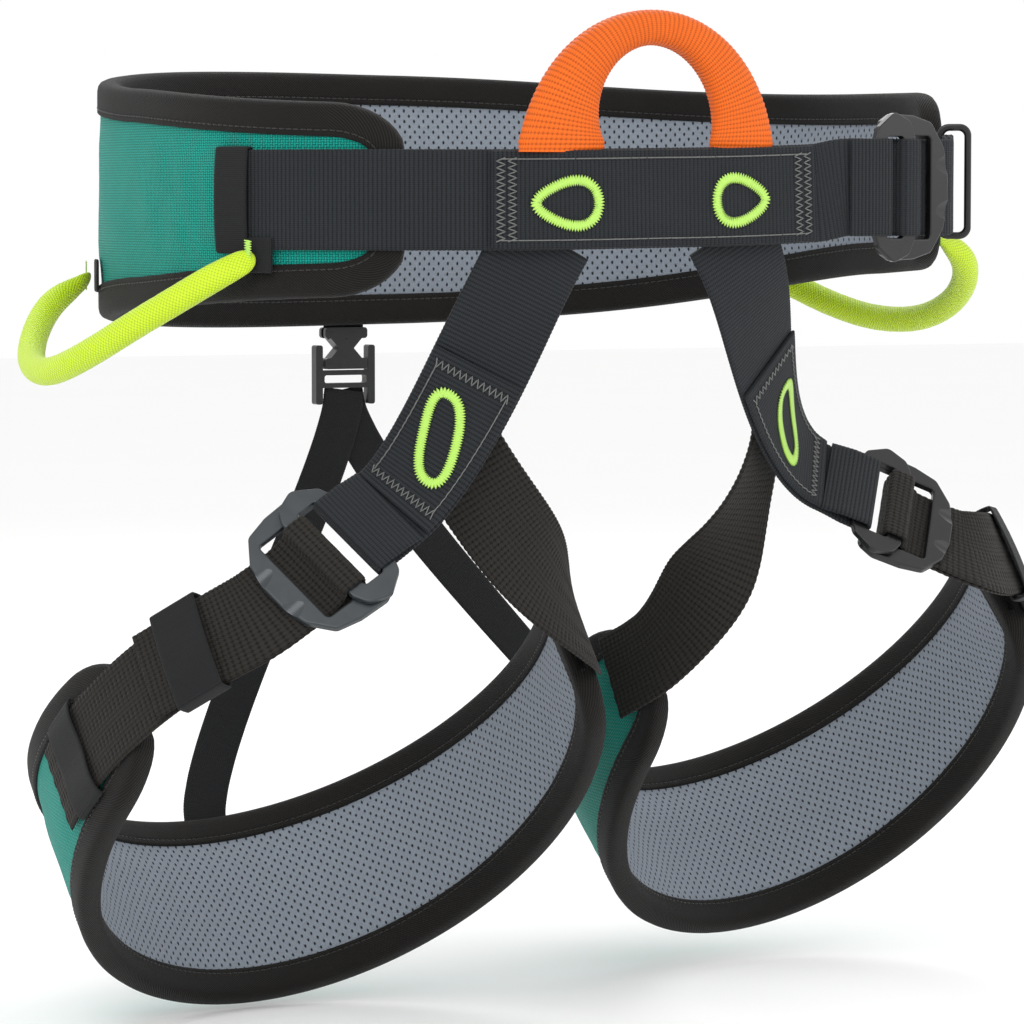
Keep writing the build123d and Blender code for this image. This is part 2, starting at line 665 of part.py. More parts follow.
def make_leg_pad(leg):
    start, end = leg.pad
    near = [share * LEG_TIP_LENGTH for share in (0.0, 0.12, 0.35, 0.65)]
    turns = [start + step for step in near]
    turns += angles(start + LEG_TIP_LENGTH, end - LEG_TIP_LENGTH, LEG_STEP)
    turns += [end - step for step in reversed(near)]
    make_pad(f"{leg.name}_pad", [leg.frame(turn) for turn in turns],
             [leg_pad_height(leg, turn) for turn in turns])


def riser_frames(leg):
    top = canted(hanging_frame(leg.tie_in, RISER_TOP, out=RISER_TOP_OUT), leg.top_cant)
    return bridge(top, moved(leg.buckle_seat(), along=-BUCKLE_LEAD), RISER_FRAMES, RISER_PULL)


def make_riser(leg):
    frames = riser_frames(leg)
    with BuildPart() as riser:
        add(strap(frames, WAIST_WEB_WIDTH).part)
        add(anchored_turn(leg.buckle_seat(), WAIST_WEB_WIDTH).part)
    save(riser, f"{leg.name}_riser")
    doubled = frames[DOUBLER_FROM:-1] + [moved(frames[-1], along=-GAP)]
    save(strap(doubled, WAIST_WEB_WIDTH - 1, PLY_STEP), f"{leg.name}_riser_doubler")


def inner_strap_frames(leg):
    """From the outside of the pad's inner tip up to the back of the riser."""
    tip = leg.frame(leg.inner, out=WEB_THICKNESS / 2)
    tip = canted(tip if leg.toward > 0 else turned_back(tip), leg.climb)
    behind = moved(riser_frames(leg)[leg.junction], out=JUNCTION_OUT)
    end = aimed(behind, behind.origin - tip.origin)
    return ([moved(tip, along=-TIP_LAP)] + bridge(tip, end, 12, INNER_PULL)
            + [moved(end, along=JUNCTION_LAP)])


def strap_run(leg, end):
    """The leg strap's frames from the buckle round the ring to an angle."""
    ring = leg.frames(leg.buckle + leg.toward * leg.settle, end, WEB_THICKNESS / 2)
    if leg.toward < 0:
        ring = [turned_back(frame) for frame in ring]
    return bridge(adjusting_start(leg.buckle_seat()), ring[0], 8) + ring[1:]


def make_leg_straps(leg):
    sewn = strap_run(leg, leg.strap_end)
    tail = sewn[:leg.keeper_index + 1] + [moved(sewn[leg.keeper_index], along=KEEPER_LENGTH)]
    save(adjusting_strap(leg.buckle_seat(), sewn, tail, LEG_WEB_WIDTH), f"{leg.name}_strap")
    save(strap(inner_strap_frames(leg), LEG_WEB_WIDTH), f"{leg.name}_inner_strap")

    place = sewn[leg.keeper_index]
    half = WEB_THICKNESS / 2 + KEEPER_PLAY
    keeper = sleeve([moved(place, along=step * KEEPER_LENGTH / 2) for step in (-1, 0, 1)],
                    LEG_WEB_WIDTH + 2 * KEEPER_PLAY, -half, half + PLY_STEP)
    save(keeper, f"{leg.name}_tail_keeper")
    sides = (leg.pad_keeper - PAD_KEEPER_TURN, leg.pad_keeper + PAD_KEEPER_TURN)
    cover = strap(leg.frames(*sides), LEG_WEB_WIDTH + 2, WEB_THICKNESS + GAP + TAPE_THICKNESS / 2,
                  TAPE_THICKNESS)
    save(cover, f"{leg.name}_pad_keeper")


def make_leg(leg):
    make_leg_pad(leg)
    make_buckle(f"{leg.name}_buckle", leg.buckle_seat())
    make_riser(leg)
    make_leg_straps(leg)
    save(strap(rear_elastic_frames(leg), ELASTIC_WIDTH, 0, TAPE_THICKNESS),
         f"{leg.name}_rear_elastic")


def main():
    os.makedirs("parts", exist_ok=True)
    make_waist_pad()
    make_waist_webbing()
    make_buckle("waist_buckle", waist_buckle_seat())
    make_slider()
    make_tie_in_loop()
    for side in GEAR_ROUTES:
        make_gear_loop(side)
    make_rear_buckle()
    for leg in LEGS:
        make_leg(leg)


main()
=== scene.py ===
"""Climbing harness: padded belt and leg loops, ribbed webbing, stitching, buckles and gear loops.

Metres, +Z up, -Y is the wearer's front.  Webbing and pads follow the same curves as the CAD:
in each Place, x runs across the width, y points outward from the body and z runs along.
"""
import json
import math

import bpy
import numpy as np
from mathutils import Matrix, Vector

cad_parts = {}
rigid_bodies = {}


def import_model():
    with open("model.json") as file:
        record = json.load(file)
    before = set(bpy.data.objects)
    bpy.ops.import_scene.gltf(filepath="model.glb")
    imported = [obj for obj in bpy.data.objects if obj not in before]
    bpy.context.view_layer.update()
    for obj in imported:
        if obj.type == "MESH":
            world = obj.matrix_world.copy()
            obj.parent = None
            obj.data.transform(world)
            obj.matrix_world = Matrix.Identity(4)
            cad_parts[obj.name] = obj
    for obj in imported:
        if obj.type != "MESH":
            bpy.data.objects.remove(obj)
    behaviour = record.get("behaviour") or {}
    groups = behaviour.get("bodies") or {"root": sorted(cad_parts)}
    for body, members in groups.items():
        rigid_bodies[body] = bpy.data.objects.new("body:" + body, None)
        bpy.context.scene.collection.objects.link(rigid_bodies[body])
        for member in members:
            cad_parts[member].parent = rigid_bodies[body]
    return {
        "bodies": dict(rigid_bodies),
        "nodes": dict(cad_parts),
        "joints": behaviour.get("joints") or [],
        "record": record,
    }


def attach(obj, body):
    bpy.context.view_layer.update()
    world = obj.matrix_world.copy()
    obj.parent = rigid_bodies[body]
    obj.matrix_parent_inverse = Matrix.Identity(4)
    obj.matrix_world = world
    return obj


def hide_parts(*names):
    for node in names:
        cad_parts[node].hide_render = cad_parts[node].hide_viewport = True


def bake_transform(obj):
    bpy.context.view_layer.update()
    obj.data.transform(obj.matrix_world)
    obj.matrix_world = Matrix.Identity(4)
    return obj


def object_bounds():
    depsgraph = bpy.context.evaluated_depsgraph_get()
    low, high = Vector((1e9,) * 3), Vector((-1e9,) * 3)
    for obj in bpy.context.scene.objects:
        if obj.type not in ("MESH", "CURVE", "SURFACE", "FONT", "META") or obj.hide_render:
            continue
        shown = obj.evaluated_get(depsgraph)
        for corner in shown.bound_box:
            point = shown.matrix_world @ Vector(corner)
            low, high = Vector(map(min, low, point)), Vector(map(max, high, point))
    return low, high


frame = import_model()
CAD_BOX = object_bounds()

bl_info = {
    "name": "Climbing Harness",
    "version": (1, 0, 0),
    "blender": (4, 5, 0),
    "location": "View3D > Sidebar > Harness",
    "description": "Builds the soft goods, stitching, finishes and stage of a climbing harness",
    "category": "Add Mesh",
}

UP = np.array((0.0, 0.0, 1.0))


# ---------------------------------------------------------------- sizes and colours

def length(name, default, description):
    return bpy.props.FloatProperty(name=name, default=default, description=description,
                                   subtype="DISTANCE", unit="LENGTH", precision=5)


def colour(name, default, description):
    return bpy.props.FloatVectorProperty(name=name, default=default, description=description,
                                         subtype="COLOR", size=3, min=0.0, max=1.0)


class HarnessSizes(bpy.types.PropertyGroup):
    web_thickness: length("Webbing thickness", 0.0018, "Thickness of one ply of webbing")
    tape_thickness: length("Tape thickness", 0.0010, "Thickness of tape and elastic")
    rib_pitch: length("Rib pitch", 0.0018, "Distance between the webbing's cross ribs")
    rib_height: length("Rib height", 0.00022, "How far a cross rib stands up")
    coarse_pitch: length("Coarse rib pitch", 0.0026, "Distance between ribs of leg webbing")
    pad_crown: length("Pad crown", 0.0018, "How far a pad's middle swells past its rim")
    thread_radius: length("Thread radius", 0.00024, "Radius of the sewing thread")
    bartack_radius: length("Bartack thread radius", 0.00042, "Radius of the satin thread")
    gear_diameter: length("Gear loop diameter", 0.0115, "Diameter of a gear loop")


class HarnessColours(bpy.types.PropertyGroup):
    canvas: colour("Canvas", (0.0020, 0.320, 0.255), "Face cloth of the pads")
    mesh: colour("Spacer mesh", (0.228, 0.258, 0.300), "Lining of the pads")
    # Painted shade: the near-black colour inside the lining's holes stands in for the shade there.
    mesh_hole_shade: colour("Mesh hole", (0.012, 0.015, 0.019), "Inside of the lining's holes")
    binding: colour("Binding", (0.0105, 0.0096, 0.0088), "Tape round the pads' rims")
    webbing: colour("Webbing", (0.0140, 0.0158, 0.0182), "Belt webbing and risers")
    leg_webbing: colour("Leg webbing", (0.0135, 0.0120, 0.0105), "Leg and inner straps")
    tape: colour("Tape", (0.0120, 0.0124, 0.0132), "Keepers and elastics")
    tie_in: colour("Tie-in loop", (0.86, 0.145, 0.006), "Tubular webbing of the tie-in loop")
    gear: colour("Gear loop", (0.62, 0.86, 0.012), "Braided gear loops")
    bartack: colour("Bartack", (0.55, 0.90, 0.150), "Satin thread of the bartacks")
    stitch: colour("Stitching", (0.17, 0.175, 0.168), "Grey sewing thread")
    metal_grey: colour("Grey metal", (0.034, 0.040, 0.044), "Finish of the left leg's buckle")
    metal_black: colour("Black metal", (0.0065, 0.0065, 0.0072), "Finish of the other buckles")
    plastic: colour("Plastic", (0.0105, 0.0108, 0.0118), "Rear release buckle")
    floor: colour("Floor", (0.95, 0.95, 0.948), "Floor of the stage")


def sizes():
    return bpy.context.scene.harness_sizes


def colours():
    return bpy.context.scene.harness_colours


# ---------------------------------------------------------------- places along the curves

def unit(v):
    return v / np.linalg.norm(v)


class Place:
    """A point with a direction across the width (x), outward (y) and along (z)."""

    def __init__(self, origin, x, z):
        self.o = np.array(origin, float)
        self.x, self.z = unit(np.array(x, float)), unit(np.array(z, float))
        self.y = np.cross(self.z, self.x)

    def moved(self, along=0.0, out=0.0, across=0.0):
        return Place(self.o + self.z * along + self.y * out + self.x * across, self.x, self.z)

    def back(self):
        return Place(self.o, -self.x, -self.z)

    def canted(self, turn):
        c, s = math.cos(math.radians(turn)), math.sin(math.radians(turn))
        return Place(self.o, self.x * c - self.z * s, self.z * c + self.x * s)

    def aimed(self, travel):
        along = unit(travel - self.y * (travel @ self.y))
        return Place(self.o, np.cross(self.y, along), along)


HALF_WIDTH, HALF_DEPTH, SQUARENESS, RISE, RISE_TURN = 0.178, 0.150, 2.5, 0.008, -20.0


def belt(turn, out=0.0, height=0.0):
    """Place on the waist curve at an angle in degrees from +X towards the back."""
    c, s = math.cos(math.radians(turn)), math.sin(math.radians(turn))
    power = 2.0 / SQUARENESS
    lean = max(0.0, math.cos(math.radians(turn - RISE_TURN)))
    point = np.array((HALF_WIDTH * math.copysign(abs(c) ** power, c),
                      HALF_DEPTH * math.copysign(abs(s) ** power, s), height + RISE * lean ** 2))
    normal = unit(np.array((math.copysign(abs(c) ** (2 - power), c) / HALF_WIDTH,
                            math.copysign(abs(s) ** (2 - power), s) / HALF_DEPTH, 0.0)))
    return Place(point + normal * out, UP, np.cross(UP, normal))


def hanging(turn, height, out=0.0):
    outward = belt(turn).y
    return Place(belt(turn, out, height).o, np.cross(outward, -UP), -UP)


def turns(start, end, step):
    count = math.ceil(abs(end - start) / step)
    return [start + (end - start) * i / count for i in range(count + 1)]


def belts(start, end, out=0.0, step=3.0):
    return [belt(turn, out) for turn in turns(start, end, step)]


def bridge(start, end, count, pull=1.0):
    """Places on a smooth curve from one place to another."""
    reach = np.linalg.norm(end.o - start.o) * pull
    made = []
    for i in range(count + 1):
        t = i / count
        share = 3 * t**2 - 2 * t**3
        point = (start.o * (1 - share) + start.z * (reach * (t**3 - 2 * t**2 + t))
                 + end.o * share + end.z * (reach * (t**3 - t**2)))
        along = unit((end.o - start.o) * (6 * t - 6 * t**2)
                     + start.z * (reach * (3 * t**2 - 4 * t + 1))
                     + end.z * (reach * (3 * t**2 - 2 * t)))
        width = start.x * (1 - share) + end.x * share
        made.append(Place(point, width - along * (width @ along), along))
    return made


# Buckles and layers, as in the CAD.
SLOT_WIDTH, BAR_WIDTH, PLATE, FRAME_METAL, FRAME_CLEARANCE = 0.0095, 0.007, 0.0025, 0.0029, 0.0005
BUCKLE_LEAD, ADJUST_LEAD, GAP = 0.034, 0.027, 0.0003
WEB = 0.0018
BAR_CLEARANCE = GAP + WEB / 2
ABOVE_PLATE, BELOW_PLATE = PLATE + BAR_CLEARANCE, -BAR_CLEARANCE
ANCHOR_SLOT = -BAR_WIDTH / 2 - SLOT_WIDTH + BAR_CLEARANCE
UNDER_FRAME = -FRAME_CLEARANCE - FRAME_METAL - BAR_CLEARANCE
PLY = WEB + GAP
WAIST_SEAT_TURN, WAIST_SEAT_OUT, WAIST_FLARE, WAIST_SETTLE = 303.0, 0.005, 10.0, 22.0
REAR_TURN, SOCKET_TOP, SOCKET_TALL, BUCKLE_SEAT_OUT = 93.5, -0.058, 0.019, 0.004
RISER_TOP, RISER_TOP_OUT, RISER_COUNT, RISER_PULL, DOUBLER_FROM = -0.0225, -0.0021, 14, 0.65, 6
JUNCTION, JUNCTION_OUT, JUNCTION_LAP, TIP_LAP, INNER_PULL = 9, -0.0042, 0.005, 0.020, 0.8


class Leg:
    """One leg loop's tilted ring and where its pieces sit round it, in degrees."""

    def __init__(self, name, centre, tilt, yaw, roll, radii, toward, pad, buckle, cant, settle,
                 lift, keeper, pad_keeper, strap_end, inner, climb, tie_in, top_cant, rear):
        self.name, self.centre, self.radii, self.toward = name, np.array(centre), radii, toward
        self.pad, self.buckle, self.cant, self.settle, self.lift = pad, buckle, cant, settle, lift
        self.keeper, self.pad_keeper, self.strap_end = keeper, pad_keeper, strap_end
        self.inner, self.climb, self.tie_in, self.top_cant = inner, climb, tie_in, top_cant
        self.rear, self.body = rear, f"{name}_leg"
        tilt, yaw, roll = (math.radians(angle) for angle in (tilt, yaw, roll))
        self.up = np.array((math.sin(yaw) * math.sin(tilt), math.cos(yaw) * math.sin(tilt),
                            math.cos(tilt)))
        across = unit(np.array((1.0, 0.0, 0.0)) - self.up * self.up[0])
        back = np.cross(self.up, across)
        self.across = across * math.cos(roll) + back * math.sin(roll)
        self.back = back * math.cos(roll) - across * math.sin(roll)

    def place(self, turn, out=0.0):
        c, s = math.cos(math.radians(turn)), math.sin(math.radians(turn))
        point = self.centre + self.across * (self.radii[0] * c) + self.back * (self.radii[1] * s)
        along = unit(self.back * (self.radii[1] * c) - self.across * (self.radii[0] * s))
        normal = np.cross(along, self.up)
        return Place(point + normal * out, self.up, along)

    def seat(self):
        flat = self.place(self.buckle, BUCKLE_SEAT_OUT).moved(across=self.lift)
        return (flat if self.toward > 0 else flat.back()).canted(self.cant)

    def riser(self):
        top = hanging(self.tie_in, RISER_TOP, RISER_TOP_OUT).canted(self.top_cant)
        return bridge(top, self.seat().moved(along=-BUCKLE_LEAD), RISER_COUNT, RISER_PULL)

    def strap(self):
        ring = [self.place(turn, WEB / 2) for turn in
                turns(self.buckle + self.toward * self.settle, self.strap_end, 4.0)]
        if self.toward < 0:
            ring = [place.back() for place in ring]
        return bridge(adjusting_start(self.seat()), ring[0], 8) + ring[1:]

    def inner_strap(self):
        tip = self.place(self.inner, WEB / 2)
        tip = (tip if self.toward > 0 else tip.back()).canted(self.climb)
        behind = self.riser()[JUNCTION].moved(out=JUNCTION_OUT)
        end = behind.aimed(behind.o - tip.o)
        return ([tip.moved(along=-TIP_LAP)] + bridge(tip, end, 12, INNER_PULL)
                + [end.moved(along=JUNCTION_LAP)])

    def pad_half(self, turn):
        """Half of the pad's height at an angle, before its ends round off."""
        share = (turn - self.pad[0]) / (self.pad[1] - self.pad[0])
        return (LEG_END_HEIGHT + (LEG_HEIGHT - LEG_END_HEIGHT)
                * max(0.0, math.sin(math.pi * share)) ** 0.7) / 2


LEG_HEIGHT, LEG_END_HEIGHT = 0.088, 0.052
LEGS = [
    Leg("left", (-0.104, -0.024, -0.230), 38, -8, -6, (0.116, 0.138), -1, (-24, 211), 258, 22, 32,
        0.012, 7, 194, 184, -26, 24, 254.5, -30, 94),
    Leg("right", (0.140, 0.014, -0.221), 41, -13, -13, (0.107, 0.132), 1, (-18, 214), 284, -36,
        52, 0.004, 5, 351, 366, 216, -14, 275.5, 30, 112),
]


def adjusting_start(seat):
    return seat.moved(along=ADJUST_LEAD, out=UNDER_FRAME - PLY)


def waist_seat():
    base = belt(WAIST_SEAT_TURN, out=WAIST_SEAT_OUT)
    c, s = math.cos(math.radians(WAIST_FLARE)), math.sin(math.radians(WAIST_FLARE))
    return Place(base.o, base.x, base.z * c + base.y * s)


# ---------------------------------------------------------------- runs: evenly spaced stations

def walked_along(points):
    """Distance from the first point to each point, along a line of points."""
    return np.concatenate(([0.0], np.cumsum(np.linalg.norm(np.diff(points, axis=0), axis=1))))


class Run:
    """Stations along a strap: points, width directions, outward normals and distances."""

    def __init__(self, points, widths, spacing):
        points, widths = np.array(points), np.array(widths)
        steps = np.linalg.norm(np.diff(points, axis=0), axis=1)
        keep = np.concatenate(([True], steps > 1e-6))
        points, widths = points[keep], widths[keep]
        knots = walked_along(points)
        self.total = knots[-1]
        count = max(2, round(self.total / spacing))
        self.s = np.linspace(0.0, self.total, count + 1)
        self.o = smooth(knots, points, self.s)
        along = np.gradient(self.o, self.s, axis=0)
        self.t = along / np.linalg.norm(along, axis=1)[:, None]
        widths = smooth(knots, widths, self.s)
        widths -= self.t * np.sum(widths * self.t, axis=1)[:, None]
        self.x = widths / np.linalg.norm(widths, axis=1)[:, None]
        self.n = np.cross(self.t, self.x)

    def at(self, s, x, y):
        """Points at distances s, across x and out y from the middle of the strap."""
        s = np.clip(s, 0.0, self.total)
        take = [np.stack([np.interp(s, self.s, part[:, k]) for k in range(3)], 1)
                for part in (self.o, self.x, self.n)]
        return take[0] + take[1] * np.asarray(x)[:, None] + take[2] * np.asarray(y)[:, None]


def smooth(knots, values, at):
    """Cubic curve through values, with each knot's slope taken from its neighbours."""
    slope = np.gradient(values, knots, axis=0)
    i = np.clip(np.searchsorted(knots, at, side="right") - 1, 0, len(knots) - 2)
    span = (knots[i + 1] - knots[i])[:, None]
    t = (at - knots[i])[:, None] / span
    return (values[i] * (2 * t**3 - 3 * t**2 + 1) + slope[i] * span * (t**3 - 2 * t**2 + t)
            + values[i + 1] * (3 * t**2 - 2 * t**3) + slope[i + 1] * span * (t**3 - t**2))


def run_of(places, spacing=0.0005):
    return Run([p.o for p in places], [p.x for p in places], spacing)


def rounded(points, radius=0.0016, pieces=6):
    """Corner points of a bent line with each corner replaced by an arc."""
    points = [np.array(p, float) for p in points]
    made = [points[0]]
    for before, corner, after in zip(points, points[1:], points[2:]):
        arrive, leave = unit(corner - before), unit(after - corner)
        turn = math.acos(max(-1.0, min(1.0, arrive @ leave)))
        cut = min(radius * math.tan(turn / 2), 0.48 * np.linalg.norm(corner - before),
                  0.48 * np.linalg.norm(after - corner))
        start, end = corner - arrive * cut, corner + leave * cut
        for i in range(pieces + 1):
            t = i / pieces
            made.append(start * (1 - t) ** 2 + corner * (2 * t * (1 - t)) + end * t**2)
    return made + [points[-1]]


def turn_round(seat, points):
    """Places along a bent line in the buckle's side view, (along, out) from its centre bar."""
    line = rounded(points)
    made = []
    for i, (u, v) in enumerate(line):
        before, after = line[max(i - 1, 0)], line[min(i + 1, len(line) - 1)]
        du, dv = after - before
        made.append(Place(seat.o + seat.z * u + seat.y * v, seat.x, seat.z * du + seat.y * dv))
    return made


def anchored(places, seat, ending=0.0):
    """A strap that arrives, goes round the plate's outer bar and comes back over itself."""
    near = -BUCKLE_LEAD + 0.010
    return places + turn_round(seat, [
        (-BUCKLE_LEAD, 0), (near, BELOW_PLATE), (ANCHOR_SLOT, BELOW_PLATE),
        (ANCHOR_SLOT, ABOVE_PLATE), (near, ABOVE_PLATE), (-BUCKLE_LEAD - ending, PLY)])[1:]


def adjusted(loaded, seat, tail):
    """The loaded ply from its sewn end, its roll over the centre bar and the tail over it."""
    side = BAR_WIDTH / 2 + BAR_CLEARANCE
    roll = turn_round(seat, [
        (ADJUST_LEAD, UNDER_FRAME - PLY), (-side, UNDER_FRAME - PLY), (-side, ABOVE_PLATE),
        (side, ABOVE_PLATE), (side, BELOW_PLATE), (side + 0.005, UNDER_FRAME),
        (ADJUST_LEAD, UNDER_FRAME)])
    return ([Place(p.o, p.x, -p.z) for p in reversed(loaded)] + roll[1:]
            + [p.moved(out=PLY) for p in tail][1:])


# ---------------------------------------------------------------- meshes

def deselect():
    if bpy.context.object and bpy.context.object.mode != "OBJECT":
        bpy.ops.object.mode_set(mode="OBJECT")
    bpy.ops.object.select_all(action="DESELECT")


def skin(name, table, uv):
    """A grid primitive laid over a table of points, welded and with its faces outward."""
    rows, columns = table.shape[0], table.shape[1]
    deselect()
    bpy.ops.mesh.primitive_grid_add(x_subdivisions=columns - 1, y_subdivisions=rows - 1, size=1.0)
    piece = bpy.context.object
    piece.name = piece.data.name = name
    mesh = piece.data
    co = np.empty(len(mesh.vertices) * 3)
    mesh.vertices.foreach_get("co", co)
    co = co.reshape(-1, 3)
    i = np.rint((co[:, 0] + 0.5) * (columns - 1)).astype(int)
    j = np.rint((co[:, 1] + 0.5) * (rows - 1)).astype(int)
    mesh.vertices.foreach_set("co", table[j, i].ravel())
    corner = np.empty(len(mesh.loops), np.int32)
    mesh.loops.foreach_get("vertex_index", corner)
    mesh.uv_layers[0].name = "weave"
    mesh.uv_layers[0].data.foreach_set("uv", uv[j, i][corner].ravel())
    bpy.ops.object.mode_set(mode="EDIT")
    bpy.ops.mesh.select_all(action="SELECT")
    bpy.ops.mesh.remove_doubles(threshold=2e-6)
    bpy.ops.mesh.normals_make_consistent(inside=False)
    bpy.ops.object.mode_set(mode="OBJECT")
    bpy.ops.object.shade_smooth()
    return piece


def swept(name, run, outline, pointed=False):
    """A closed outline (points across and out, repeated for each station) along a run."""
    if outline.ndim == 2:
        outline = np.repeat(outline[None], len(run.s), axis=0)
    table = (run.o[:, None] + outline[..., :1] * run.x[:, None] + outline[..., 1:] * run.n[:, None])
    around = walked_along(outline[len(outline) // 2])
    uv = np.stack(np.broadcast_arrays(around[None], run.s[:, None]), 2)
    ends = []
    for k in (0, -1):
        flat = outline[k].copy()
        flat[:, 1] = flat[:, 1].mean()
        if pointed:
            flat[:, 0] = flat[:, 0].mean()
        ends.append(run.o[k] + flat[:, :1] * run.x[k] + flat[:, 1:] * run.n[k])
    table = np.concatenate((ends[0][None], table, ends[1][None]))
    uv = np.concatenate((uv[:1], uv, uv[-1:]))
    return skin(name, table, uv)


EDGE = 0.0005


def flat_outline(half, thickness, columns):
    """Outline of a flat strap with rounded selvedges, starting and ending at one edge."""
    inner = np.linspace(-half + EDGE, half - EDGE, columns + 1)
    x = np.concatenate(([-half], inner, [half]))
    y = np.full(len(x), thickness / 2)
    y[[1, -2]] *= 0.85
    y[[0, -1]] = 0.0
    return np.concatenate((np.stack((x, y), 1), np.stack((x[::-1], -y[::-1]), 1)[1:]))


def ribbed(run, half, thickness, pitch, height, columns, basket=0):
    """Outlines of webbing whose ribs run across it, in blocks that alternate if basket is set."""
    outline = flat_outline(half, thickness, columns)
    phase = np.zeros(len(outline))
    if basket:
        phase = np.floor((outline[:, 0] + half) / (2 * half / basket)) % 2 * 0.5
    wave = np.abs(np.cos(np.pi * (run.s[:, None] / pitch + phase[None]))) - 0.5
    outlines = np.repeat(outline[None], len(run.s), axis=0)
    outlines[..., 1] += np.sign(outline[:, 1]) * wave * height
    edge = (np.abs(outline[:, 0]) > half - EDGE / 2)
    outlines[:, edge, 0] += np.sign(outline[edge, 0]) * (wave[:, edge] - 0.5) * height
    return outlines


def joined(pieces, name):
    deselect()
    for piece in pieces:
        piece.select_set(True)
    bpy.context.view_layer.objects.active = pieces[0]
    if len(pieces) > 1:
        bpy.ops.object.join()
    pieces[0].name = pieces[0].data.name = name
    return pieces[0]


def finished(piece, material, body=None, nodes=()):
    piece.data.materials.clear()
    piece.data.materials.append(material)
    if body:
        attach(piece, body)
    if nodes:
        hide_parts(*nodes)
    return piece


# ---------------------------------------------------------------- finishes

class Finish:
    """A node material, with short calls for the nodes that the patterns need."""

    made = {}

    def __init__(self, name, roughness, **constants):
        self.material = bpy.data.materials.new(name)
        self.material.use_nodes = True
        self.tree = self.material.node_tree
        self.shader = self.tree.nodes["Principled BSDF"]
        self.set(Roughness=roughness, **constants)

    def set(self, **constants):
        for key, value in constants.items():
            self.shader.inputs[key.replace("_", " ")].default_value = value

    def link(self, value, socket):
        if isinstance(value, bpy.types.NodeSocket):
            self.tree.links.new(value, socket)
        else:
            socket.default_value = value

    def math(self, operation, first, second=0.0, third=0.0):
        node = self.tree.nodes.new("ShaderNodeMath")
        node.operation = operation
        for value, socket in zip((first, second, third), node.inputs):
            self.link(value, socket)
        return node.outputs[0]

    def wave(self, value, pitch, shift=0.0):
        """0 at each multiple of the pitch and 1 half way between."""
        turn = self.math("MULTIPLY_ADD", value, math.pi / pitch, shift)
        return self.math("ABSOLUTE", self.math("SINE", turn))

    def steps(self, value, low, high):
        node = self.tree.nodes.new("ShaderNodeMapRange")
        node.interpolation_type = "SMOOTHSTEP"
        self.link(value, node.inputs[0])
        node.inputs[1].default_value, node.inputs[2].default_value = low, high
        return node.outputs[0]

    def millimetres(self):
        """The strap's own coordinates: across and along, in millimetres."""
        source = self.tree.nodes.new("ShaderNodeUVMap")
        source.uv_map = "weave"
        split = self.tree.nodes.new("ShaderNodeSeparateXYZ")
        self.link(source.outputs[0], split.inputs[0])
        return (self.math("MULTIPLY", split.outputs[0], 1000.0),
                self.math("MULTIPLY", split.outputs[1], 1000.0))

    def noise(self, scale, detail=3.0, distortion=0.0):
        source = self.tree.nodes.new("ShaderNodeTexCoord")
        node = self.tree.nodes.new("ShaderNodeTexNoise")
        self.link(source.outputs["Object"], node.inputs["Vector"])
        node.inputs["Scale"].default_value = scale
        node.inputs["Detail"].default_value = detail
        node.inputs["Distortion"].default_value = distortion
        return node.outputs[0]

    def mix(self, share, first, second):
        node = self.tree.nodes.new("ShaderNodeMix")
        node.data_type = "RGBA"
        self.link(share, node.inputs[0])
        for value, socket in ((first, node.inputs[6]), (second, node.inputs[7])):
            self.link((*value, 1.0) if isinstance(value, tuple) else value, socket)
        return node.outputs[2]

    def relief(self, height, depth):
        node = self.tree.nodes.new("ShaderNodeBump")
        node.inputs["Strength"].default_value = 1.0
        node.inputs["Distance"].default_value = depth
        self.link(height, node.inputs["Height"])
        self.link(node.outputs[0], self.shader.inputs["Normal"])

    def paint(self, tint):
        self.link(tint, self.shader.inputs["Base Color"])


def shade(tint, share):
    return tuple(part * share for part in tint)


def finish_named(name, make):
    """Each finish is made once and shared."""
    if name not in Finish.made:
        Finish.made[name] = make(name)
    return Finish.made[name]


def woven(name, tint, pitch, yarn, depth, valley_shade=0.14, roughness=0.72, gloss=0.16, lit_ridge_gain=1.9):
    """Webbing: ribs across, finer yarns along, with uneven dye and fuzz, painted shade in the
    valleys and painted light on the rib tops.
    """
    def make(title):
        look = Finish(title, roughness, Sheen_Weight=0.05, Sheen_Roughness=0.45,
                      Specular_IOR_Level=gloss)
        across, along = look.millimetres()
        slant = look.math("MULTIPLY_ADD", look.noise(900.0, 2.0), 0.35, along)
        rib = look.wave(slant, pitch, math.pi / 2)
        strand = look.wave(across, yarn)
        twist = look.wave(look.math("ADD", across, look.math("MULTIPLY", along, 0.45)), yarn * 0.5)
        height = look.math("MULTIPLY_ADD", rib, 0.55, look.math("MULTIPLY", strand, 0.45))
        height = look.math("MULTIPLY_ADD", twist, 0.18, height)
        fuzz = look.noise(2600.0, 2.0)
        blotch = look.noise(38.0, 4.0)
        lit = look.math("MULTIPLY_ADD", blotch, 0.35, look.math("MULTIPLY", fuzz, 0.55))
        # Painted light: the rib tops take a lit copy of the tint, and the rib valleys and yarn
        # grooves a shaded copy.
        body = look.mix(lit, shade(tint, 0.60 * lit_ridge_gain), shade(tint, 1.25 * lit_ridge_gain))
        look.paint(look.mix(look.steps(height, 0.12, 0.98), shade(tint, valley_shade), body))
        look.relief(look.math("MULTIPLY_ADD", fuzz, 0.25, height), depth)
        return look.material
    return finish_named(name, make)


